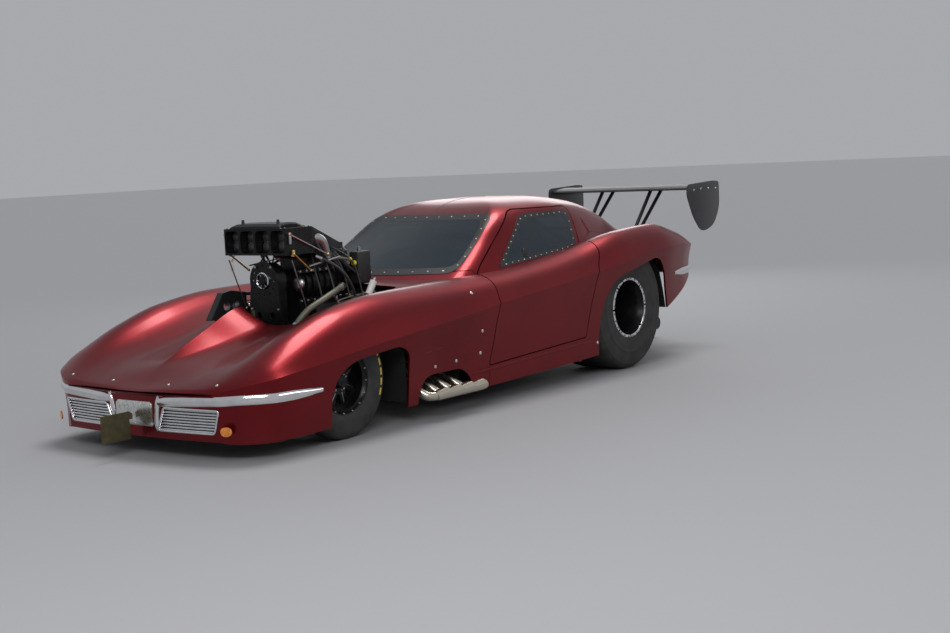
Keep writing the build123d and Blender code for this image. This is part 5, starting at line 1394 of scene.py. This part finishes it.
for y, z, radius, sides, material in COVER_HOLES:
    hole = around(radius, sides, 0.0, (y, z))
    carve(cover, cutter(hole, COVER_X - 0.02, COVER_X + 0.02, "x", material))
cover = smooth(cover, 30)
hub_outline = ((0.010, 0.044), (0.020, 0.044), (0.023, 0.047), (0.020, 0.052), (0.010, 0.052))
hub_ring = turned("hub_ring", hub_outline, (COVER_X, *PULLEY), CHROME, 48, "x")
core_outline = (
    (0.008, 0.002), (0.008, 0.040), (0.013, 0.040), (0.015, 0.030), (0.026, 0.024), (0.028, 0.002),
)
hub_core = turned("hub_core", core_outline, (COVER_X, *PULLEY), BLACK_METAL, 40, "x")
spokes = [
    bar("spoke", (COVER_X + 0.015, *start), (COVER_X + 0.015, *end), 0.003, ALLOY, 8)
    for start, end in zip(around(0.016, 6, 0.0, PULLEY), around(0.046, 6, 0.0, PULLEY))
]
cover_bolts = scattered("cover_bolts", hex_head(0.012, 0.008, ALLOY), [
    ((COVER_X + 0.010, y, z), (1, 0, 0)) for y, z in COVER_BOLTS
])
settle(joined("belt_cover", [cover, hub_ring, hub_core, cover_bolts] + spokes), "root")
strap = brick(
    "cover_strap", (COVER_X + 0.010, -0.118, 0.545), (COVER_X + 0.014, -0.088, 0.690), OLIVE, 0.0012
)
settle(strap, "root")

# Blower's bearing caps and bolts
CAP_RADIUS = 0.044
CAP_OUTLINE = (
    (0, 0.002), (0, CAP_RADIUS), (0.012, CAP_RADIUS), (0.018, CAP_RADIUS * 0.86),
    (0.026, CAP_RADIUS * 0.8), (0.030, CAP_RADIUS * 0.6), (0.030, 0.002),
)
blower_bits = [
    turned("bearing_cap", CAP_OUTLINE, at(side, -0.352, 0.082 * 1.9, 0.842), material, 32, "x")
    for side, material in ((1, ALLOY), (-1, GOLD))
]
blower_bits.append(scattered("blower_bolts", hex_head(0.012, 0.007, ALLOY), [
    (at(side, -0.37 - 0.0575 * i, 0.1505, z), (0, side, 0))
    for side in (1, -1) for i in range(9) for z in (0.735, 0.915)
]))
settle(joined("blower_fittings", blower_bits), "root")

# Hoses and fittings: each is fixed at both ends along its route
BRAID = speckled("braided_hose", (0.16, 0.155, 0.12), 0.5, 0.5, scale=300, spread=0.4, bump=0.5)
HOSE = speckled("rubber_hose", (0.02, 0.02, 0.02), 0.5, scale=90)
HOSES = (
    # name, radius, material, whether it is one of a pair, and its route or that of the left one
    ("return_hose", 0.019, BRAID, False, (
        (-0.16, 0.285, 0.600), (-0.20, 0.330, 0.690), (-0.34, 0.345, 0.745), (-0.50, 0.330, 0.795),
        (-0.62, 0.255, 0.800),
    )),
    ("fuel_hose", 0.010, HOSE, True, (
        (-0.44, 0.235, 1.000), (-0.52, 0.300, 0.950), (-0.60, 0.330, 0.860), (-0.66, 0.325, 0.760),
        (-0.70, 0.300, 0.690),
    )),
    ("pump_hose", 0.013, HOSE, False, (
        (-0.23, -0.150, 0.600), (-0.19, -0.240, 0.660), (-0.22, -0.310, 0.740), (-0.34, -0.330, 0.790),
        (-0.46, -0.300, 0.760),
    )),
    ("rail_hose", 0.008, BRAID, True, (
        (-0.46, 0.170, 0.950), (-0.60, 0.225, 0.985), (-0.74, 0.235, 0.960), (-0.84, 0.215, 0.900),
        (-0.90, 0.180, 0.820),
    )),
)
for hose, radius, material, is_pair, route in HOSES:
    for side, hand in SIDES if is_pair else SIDES[:1]:
        name = f"{hose}_{hand}" if is_pair else hose
        points = [Vector(at(side, *place)) for place in route]
        ends = []
        for first, second in ((points[0], points[1]), (points[-1], points[-2])):
            way = (second - first).normalized()
            ends.append(bar("ferrule", first - way * 0.012, first + way * 0.030, radius * 1.35, ALLOY, 12,
                            radius * 1.15))
        settle(joined(name, [pipe(name, points, radius, material, 12, 10)] + ends), "root")
plug_leads = []
for side in (1, -1):
    for i in range(4):
        x = -0.41 - 0.128 * i
        lead = ((x, 0.455, 0.575), (x, 0.480, 0.640), (x - 0.02, 0.430, 0.715), (x - 0.05, 0.330, 0.735),
                (-0.92, 0.255, 0.745))
        material = HOSE if i % 2 else BRAID
        plug_leads.append(pipe("lead", [at(side, *place) for place in lead], 0.0045, material, 8, 6))
settle(joined("plug_leads", plug_leads), "root")

# Black boxes behind the blower, with yellow caps, and a white canister
BOX_BARS = (
    # start, end, radius, material, sides
    ((-0.775, 0.198, 0.955), (-0.762, 0.198, 0.955), 0.016, YELLOW, 20),
    ((-0.775, 0.232, 0.935), (-0.762, 0.232, 0.935), 0.016, YELLOW, 20),
    ((-0.79, 0.200, 0.90), (-0.74, 0.205, 0.895), 0.010, ALLOY, 12),
    ((-0.84, 0.215, 1.00), (-0.84, 0.215, 1.030), 0.012, STEEL, 12),
    ((-0.800, 0.310, 0.735), (-0.850, 0.315, 0.815), 0.022, WHITE, 24),
    ((-0.850, 0.315, 0.815), (-0.860, 0.316, 0.832), 0.011, ALLOY, 16),
    ((-0.800, 0.310, 0.735), (-0.785, 0.305, 0.700), 0.012, ALLOY, 16),
)
for side, hand in SIDES:
    box = brick("box", at(side, -0.905, 0.175, 0.800), at(side, -0.785, 0.255, 1.005), BLACK_SATIN, 0.012, 3)
    bars = [
        bar("bar", at(side, *start), at(side, *end), radius, material, sides)
        for start, end, radius, material, sides in BOX_BARS
    ]
    settle(joined(f"control_box_{hand}", [box] + bars), "root")
fittings = [
    (at(side, -0.40 - 0.068 * i, 0.395 + 0.01 * (i % 2), 0.700 - 0.02 * (i % 3)), (0, side * 0.7, 0.7))
    for side in (1, -1) for i in range(8)
]
settle(scattered("cover_fittings", hex_head(0.020, 0.022, ALLOY), fittings), "root")

# Dark fuel block behind the hat, its lines, the upright magneto and the leaning braces beside it
MAGNETO = (
    (0, 0.002), (0, 0.062), (0.16, 0.062), (0.165, 0.070), (0.215, 0.070), (0.235, 0.052), (0.235, 0.002),
)
BRACES = (
    ((-0.370, 0.235, 1.165), (-0.560, 0.262, 0.900), 0.015),
    ((-0.500, 0.175, 1.100), (-0.690, 0.255, 0.850), 0.020),
    ((-0.640, 0.120, 1.040), (-0.790, 0.262, 0.850), 0.024),
    ((-0.700, 0.090, 1.010), (-0.880, 0.180, 0.800), 0.018),
)
bulk = [
    brick("block", (FA - 0.640, -0.120, 0.990), (FA - 0.400, 0.120, 1.075), BLACK_METAL, 0.022, 3),
    brick("block", (FA - 0.600, -0.085, 1.070), (FA - 0.440, 0.085, 1.110), BLACK_SATIN, 0.012, 3),
    brick("block", (FA - 0.770, -0.150, 0.935), (FA - 0.650, 0.150, 1.030), BLACK_METAL, 0.018, 3),
    turned("magneto", MAGNETO, (FA - 0.860, 0, 0.790), BLACK_SATIN, 40, "z"),
]
for side in (1, -1):
    for start, end, radius in BRACES:
        bulk.append(bar("brace", at(side, *start), at(side, *end), radius, BLACK_SATIN, 16, 0.004))
    for k in range(4):
        a, b = 0.45 + 0.05 * k, 0.40 + 0.12 * k
        line = ((-a, 0.10, 1.070), (-a - 0.01, 0.17, 1.060), (-b, 0.235, 0.960), (-b, 0.285, 0.800),
                (-b, 0.300, 0.735))
        bulk.append(pipe("line", [at(side, *place) for place in line], 0.0055, HOSE, 8, 6))
        material = ALLOY if k % 2 else GOLD
        bulk.append(bar("nut", at(side, -b, 0.300, 0.730), at(side, -b, 0.300, 0.756), 0.0095, material, 6))
settle(joined("fuel_block", bulk), "root")

# Angular bracket in front of the far bank and the safety tag on its wires
FAR_BRACKET = ((-0.02, 0.640), (-0.13, 0.800), (-0.20, 0.812), (-0.33, 0.790), (-0.33, 0.640))
bracket = prism("far_bracket", shifted(FAR_BRACKET), -0.335, -0.285, "y", BLACK_SATIN)
for x, z, radius in ((-0.16, 0.715, 0.026), (-0.24, 0.725, 0.022)):
    carve(bracket, cutter(around(radius, 20, 0.0, (FA + x, z)), -0.36, -0.26, "y", STEEL))
settle(modify(bracket, "BEVEL", width=0.004, segments=2), "root")
TAG_WIRES = (
    ((-0.215, -0.250, 1.032), (-0.213, -0.262, 1.010), (-0.2145, -0.268, 0.984)),
    ((-0.215, -0.236, 1.032), (-0.212, -0.262, 1.004), (-0.2145, -0.284, 0.984)),
)
tag = brick("tag", (FA - 0.216, -0.292, 0.925), (FA - 0.213, -0.262, 0.985), WHITE, 0.001)
wires = [pipe("wire", [at(1, *place) for place in wire], 0.0016, STEEL, 8) for wire in TAG_WIRES]
settle(joined("safety_tag", [tag] + wires), "root")

# Headers: four pipes a side, each bent out under the flank and back, with a flared and slash-cut tip
for side, hand in SIDES:
    headers = []
    for n in range(4):
        port, elbow = -0.438 - 0.128 * n, -0.600 - 0.115 * n
        route = (
            (port, 0.27, 0.515), (port, 0.40, 0.42), (elbow + 0.05, 0.58, 0.365), (elbow + 0.01, 0.74, 0.275),
            (elbow - 0.005, 0.86, 0.175), (elbow - 0.035, 0.912, 0.144), (elbow - 0.090, 0.935, 0.156),
        )
        headers.append(pipe("header", [at(side, *place) for place in route], 0.0285, HEADER, 20, 8))
        start = Vector(at(side, elbow - 0.070, 0.928, 0.151))
        end = Vector(at(side, elbow - 0.158, 0.968, 0.172))
        way = (end - start).normalized()
        bpy.ops.mesh.primitive_cone_add(
            vertices=32, radius1=0.0298, radius2=0.0375, depth=(end - start).length, end_fill_type="NOTHING",
            location=(start + end) / 2, rotation=way.to_track_quat("Z", "Y").to_euler(),
        )
        tip = fresh("tip", HEADER)
        bpy.ops.object.mode_set(mode="EDIT")
        bpy.ops.mesh.select_mode(type="VERT")
        bpy.ops.mesh.select_all(action="SELECT")
        slant = way + Vector((0, -side * 0.7, 0))
        bpy.ops.mesh.bisect(plane_co=end - way * 0.036, plane_no=slant, clear_outer=True)
        bpy.ops.object.mode_set(mode="OBJECT")
        modify(tip, "SOLIDIFY", thickness=0.0022, offset=1)
        headers.append(smooth(outward(tip), 40))
        # A near-black disc inside the tip's mouth: painted shade for the hollow pipe
        headers.append(bar("painted_shade_bore", start + way * 0.012, start + way * 0.030, 0.0270, LINER_AND_SHADE, 24))
    nodes = ["exhaust_headers"] if side == 1 else []
    settle(joined(f"header_pipes_{hand}", headers), "root", *nodes, slot="header_steel")


# Wheel wells: a dark liner round each wheel, from inside the body's skin
def reach_in(outline, centre, way):
    """How far a ray from the centre runs to the outline."""
    best = 0
    for (x0, z0), (x1, z1) in zip(outline, outline[1:] + outline[:1]):
        ex, ez = x1 - x0, z1 - z0
        spread = way[0] * ez - way[1] * ex
        if abs(spread) > 1e-9:
            ahead = ((x0 - centre[0]) * ez - (z0 - centre[1]) * ex) / spread
            share = ((x0 - centre[0]) * way[1] - (z0 - centre[1]) * way[0]) / spread
            if ahead > 0 and -1e-6 <= share <= 1 + 1e-6:
                best = max(best, ahead)
    return best


WELL_INNER, WELL_OUTER, WELL_TUCK, WELL_WALL, WELL_STEPS = 0.56, 0.868, 0.060, 0.005, 56
WELLS = (
    # wheel, centre x, wheel radius, least liner radius, outline, first and last angle
    ("front", 0.0, FRONT_RADIUS, FRONT_RADIUS + 0.045, FRONT_ARCH, 116, 202),
    ("rear", -2.92, REAR_RADIUS, REAR_RADIUS + 0.022, REAR_ARCH, -32, 186),
)
for side, hand in SIDES:
    for wheel, middle_x, wheel_radius, least, outline, first, last in WELLS:
        rows = []
        for k in range(WELL_STEPS + 1):
            a = radians(first + (last - first) * k / WELL_STEPS)
            away = max(least, reach_in(outline, (middle_x, wheel_radius), (cos(a), sin(a))) + 0.010)
            out = WELL_OUTER - WELL_TUCK * max(sin(a), 0) ** 2
            section = (
                (WELL_INNER, away), (out, away), (out, away + WELL_WALL), (WELL_INNER, away + WELL_WALL),
            )
            rows.append([
                (FA + middle_x + r * cos(a), side * y, wheel_radius + r * sin(a)) for y, r in section
            ])
        settle(lattice(f"{wheel}_wheel_well_{hand}", rows, LINER_AND_SHADE, 40), "root")

# Wing end plates with a rounded outline and a bolted flange
PLATE = (
    (-4.700, 1.240), (-4.700, 1.060), (-4.600, 0.925), (-4.470, 0.885), (-4.380, 0.890), (-4.270, 1.000),
    (-4.178, 1.180), (-4.190, 1.262), (-4.600, 1.277), (-4.690, 1.270),
)
PLATE_ROUND = [0.03, 0.09, 0.07, 0.05, 0.05, 0.07, 0.08, 0.05, 0.03, 0.02]
PLATE_BOLTS = ((-4.29, 1.215), (-4.40, 1.220), (-4.52, 1.220), (-4.64, 1.215))
plates = []
for side in (1, -1):
    low, high = sorted((side * 0.655, side * 0.661))
    plate = prism("plate", rounded(shifted(PLATE), PLATE_ROUND), low, high, "y", CARBON)
    plates.append(smooth(modify(plate, "BEVEL", width=0.0018, segments=2, limit_method="ANGLE"), 30))
    plates.append(scattered("plate_bolts", hex_head(0.012, 0.005, BRIGHT), [
        (at(side, x, 0.6608, z), (0, side, 0)) for x, z in PLATE_BOLTS
    ]))
settle(joined("wing_plates", plates), "root", "wing_end_plates", slot="carbon_panel")


# Parachute packs: fabric bags filled tight, with straps, a flap and a release cable
def filled(piece, cap, voxel, pressure):
    """Fills a bag or pad by a cloth simulation under pressure. No point moves further than the cap."""
    modify(piece, "REMESH", mode="VOXEL", voxel_size=voxel)
    start = [v.co.copy() for v in piece.data.vertices]
    cloth = chosen(piece).modifiers.new("cloth", "CLOTH")
    cloth.settings.use_pressure = True
    cloth.settings.uniform_pressure_force = pressure
    cloth.settings.effector_weights.gravity = 0
    cloth.settings.quality = 5
    for step in range(1, 16):
        bpy.context.scene.frame_set(step)
    swollen = piece.evaluated_get(bpy.context.evaluated_depsgraph_get()).data
    moved = [v.co.copy() for v in swollen.vertices]
    piece.modifiers.remove(cloth)
    for vertex, was, now in zip(piece.data.vertices, start, moved):
        shift = now - was
        vertex.co = was + shift * min(1, cap / max(shift.length, 1e-9))
    bpy.context.scene.frame_set(1)
    modify(piece, "SUBSURF", levels=1, render_levels=1)
    return smooth(piece, 80)


PACK_BACK, PACK_FRONT, PACK_BASE, PACK_Y = FA - 4.425, FA - 4.105, 0.5783, 0.095
STRAP_UP, STRAP_OUT = 0.080, 0.0735
STRAP_SECTION = ((-0.014, 0.0), (-0.014, 0.0035), (0.014, 0.0035), (0.014, 0.0))
WEBBING = speckled("webbing", (0.03, 0.03, 0.032), 0.8, scale=400, spread=0.4, bump=0.5)
for side, hand in SIDES:
    bag = brick(
        f"parachute_pack_{hand}", (PACK_BACK, side * 0.026, PACK_BASE + 0.001),
        (PACK_FRONT, side * 0.164, PACK_BASE + 0.150), FABRIC, 0.045, 4,
    )
    filled(bag, 0.006, 0.009, 4.0)
    settle(bag, "root", *(["parachute_packs"] if side == 1 else []), slot="pack_fabric")
    straps = []
    for x in (PACK_FRONT - 0.07, PACK_BACK + 0.08):
        rows = []
        for a in [radians(-60 + 300 * i / 28) for i in range(29)]:
            z = PACK_BASE + 0.077 + max(min(sin(a) * STRAP_UP * 1.18, STRAP_UP), -STRAP_UP)
            y = side * PACK_Y + max(min(cos(a) * STRAP_OUT * 1.18, STRAP_OUT), -STRAP_OUT)
            n = Vector((0, cos(a), sin(a)))
            rows.append([Vector((x, y, z)) + n * h + Vector((dx, 0, 0)) for dx, h in STRAP_SECTION])
        straps.append(lattice("strap", rows, WEBBING))
        middle, top = side * PACK_Y, PACK_BASE + 0.156
        straps.append(brick("buckle", (x - 0.018, middle - 0.016, top),
                            (x + 0.018, middle + 0.016, top + 0.0065), STEEL, 0.002))
    settle(joined(f"pack_straps_{hand}", straps), "root")

# Driver's seat: foam pads in the bucket, a six-point harness and a head pad
SEAT_Y, SEAT_X = 0.385, HOOP
PAD_CLOTH = speckled("seat_cloth", (0.018, 0.018, 0.02), 0.9, scale=300, spread=0.5, bump=0.6)
pads = (
    # name, then low and high corner: x behind the hoop's line, y from the seat's middle, z
    ("seat_cushion", (0.150, -0.165, 0.262), (0.440, 0.165, 0.312)),
    ("seat_back_pad", (0.092, -0.155, 0.380), (0.142, 0.155, 0.700)),
    ("seat_head_pad", (0.084, -0.105, 0.735), (0.122, 0.105, 0.880)),
)
for name, (x0, y0, z0), (x1, y1, z1) in pads:
    pad = brick(name, (SEAT_X + x0, SEAT_Y + y0, z0), (SEAT_X + x1, SEAT_Y + y1, z1), PAD_CLOTH, 0.018, 3)
    filled(pad, 0.005, 0.010, 2.5)
    settle(pad, "root", slot="seat_shell" if name == "seat_cushion" else None)
SHOULDER_LINE = (
    (0.060, 0.890), (0.120, 0.800), (0.155, 0.700), (0.160, 0.560), (0.175, 0.420), (0.220, 0.340),
)
LAP_LINE = ((0.225, 0.030, 0.335), (0.215, 0.110, 0.335), (0.180, 0.172, 0.300))
BELT_BUCKLE = ((0, 0.002), (0, 0.030), (0.010, 0.030), (0.014, 0.024), (0.014, 0.002))
harness = []
for side in (1, -1):
    y = SEAT_Y + side * 0.075
    section = ((0, -0.024), (0.003, -0.024), (0.003, 0.024), (0, 0.024))
    rows = []
    for x, z in SHOULDER_LINE:
        inner = y - side * 0.03 * min(max((0.6 - z) / 0.3, 0), 1)
        rows.append([(SEAT_X + x + dx, inner + dy, z) for dx, dy in section])
    harness.append(lattice("belt", rows, WEBBING, 40))
    section = ((0, -0.022), (0.003, -0.022), (0.003, 0.022), (0, 0.022))
    rows = [
        [(SEAT_X + x + dx, SEAT_Y + side * y, z + dz) for dx, dz in section] for x, y, z in LAP_LINE
    ]
    harness.append(lattice("lap", rows, WEBBING, 40))
harness.append(turned("buckle", BELT_BUCKLE, (SEAT_X + 0.226, SEAT_Y, 0.336), STEEL, 24, "x"))
settle(joined("harness", harness), "root")

# Frame nodes that show as they are
WING_BLACK = speckled("wing_black", (0.014, 0.014, 0.016), 0.5, scale=60, spread=0.3)
NODE_LOOKS = (
    (AMBER, ["marker_lamps"]),
    (OLIVE, ["staging_plate"]),
    (FRAME_PAINT, ["frame_rails", "cross_members", "strut_towers", "roll_cage", "front_suspension",
                   "axle_housing", "rear_suspension", "parachute_mount", "wheelie_bar"]),
    (CARBON, ["floor_pan", "bulkheads", "dashboard"]),
    (BLACK_SATIN, ["steering_wheel", "driver_seat", "wheelie_wheels"]),
    (CAST, ["engine_block", "cylinder_heads"]),
    (BLACK_METAL, ["valve_covers", "intake_manifold", "blower", "blower_drive", "injector_hat"]),
    (ALLOY, ["gearbox", "fuel_tank", "knuckle_left", "knuckle_right"]),
    (STEEL, ["driveshaft", "tie_rod", "axle_shaft"]),
    (WING_BLACK, ["wing", "wing_struts"]),
)
for material, nodes in NODE_LOOKS:
    for node in nodes:
        coated(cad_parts[node], material)

# Floor, backdrop, lamps and camera
FLOOR_COLOUR, FLOOR_SIZE = (0.30, 0.30, 0.31), 200
WORLD_COLOUR, WORLD_STRENGTH = (0.93, 0.95, 1.0, 1), 0.42
SUN_STRENGTH, SUN_SPREAD, SUN_TURN = 1.7, radians(24), (radians(4), radians(-24), 0)
SOFTBOXES = (
    # name, place, point aimed at, size, watts
    ("key_lamp", (6.0, 4.5, 4.0), (0.5, 0, 0.5), (3, 1.6), 140),
    ("side_lamp", (-2.0, 7.5, 3.4), (-0.5, 0, 0.7), (6, 1.2), 70),
    ("rear_lamp", (-7.0, -4.0, 3.5), (-1, 0, 0.7), (4, 2.5), 80),
)

bpy.ops.mesh.primitive_plane_add(size=FLOOR_SIZE, location=(0, 0, 0))
floor_paint = Finish("floor_paint", FLOOR_COLOUR, 0.75)
fresh("studio_floor", floor_paint.material)

# An even grey surround for camera, gloss and glass alike
world = bpy.data.worlds.new("studio")
bpy.context.scene.world = world
world.use_nodes = True
backdrop = world.node_tree.nodes["Background"]
backdrop.inputs["Color"].default_value = WORLD_COLOUR
backdrop.inputs["Strength"].default_value = WORLD_STRENGTH

sun = bpy.data.lights.new("sky_lamp", "SUN")
sun.energy = SUN_STRENGTH
sun.angle = SUN_SPREAD
into_scene("sky_lamp", sun).rotation_euler = SUN_TURN
for name, place, aim, size, power in SOFTBOXES:
    lamp = bpy.data.lights.new(name, "AREA")
    lamp.shape = "RECTANGLE"
    lamp.size, lamp.size_y = size
    lamp.energy = power
    box = into_scene(name, lamp)
    box.location = place
    box.rotation_euler = (Vector(aim) - Vector(place)).to_track_quat("-Z", "Y").to_euler()

# Camera where the photograph was taken from
CAMERA_PLACE = (8.0285, 6.6348, 1.5565)
CAMERA_YAW, CAMERA_PITCH, CAMERA_ROLL = radians(218.03), radians(6.01), radians(2.77)
LENS, SENSOR, FAR_CLIP = 57.4, 36, 400
forward = Vector((
    cos(CAMERA_YAW) * cos(CAMERA_PITCH), sin(CAMERA_YAW) * cos(CAMERA_PITCH), -sin(CAMERA_PITCH)
))
level_right = Vector((sin(CAMERA_YAW), -cos(CAMERA_YAW), 0))
level_down = forward.cross(level_right)
right = level_right * cos(CAMERA_ROLL) + level_down * sin(CAMERA_ROLL)
down = level_down * cos(CAMERA_ROLL) - level_right * sin(CAMERA_ROLL)
lens = bpy.data.cameras.new("camera")
lens.lens = LENS
lens.sensor_width = SENSOR
lens.clip_end = FAR_CLIP
camera = into_scene("camera", lens)
camera.matrix_world = Matrix((
    (right.x, -down.x, -forward.x, CAMERA_PLACE[0]), (right.y, -down.y, -forward.y, CAMERA_PLACE[1]),
    (right.z, -down.z, -forward.z, CAMERA_PLACE[2]), (0, 0, 0, 1),
))
bpy.context.scene.camera = camera
bpy.context.scene.view_settings.view_transform = "Standard"
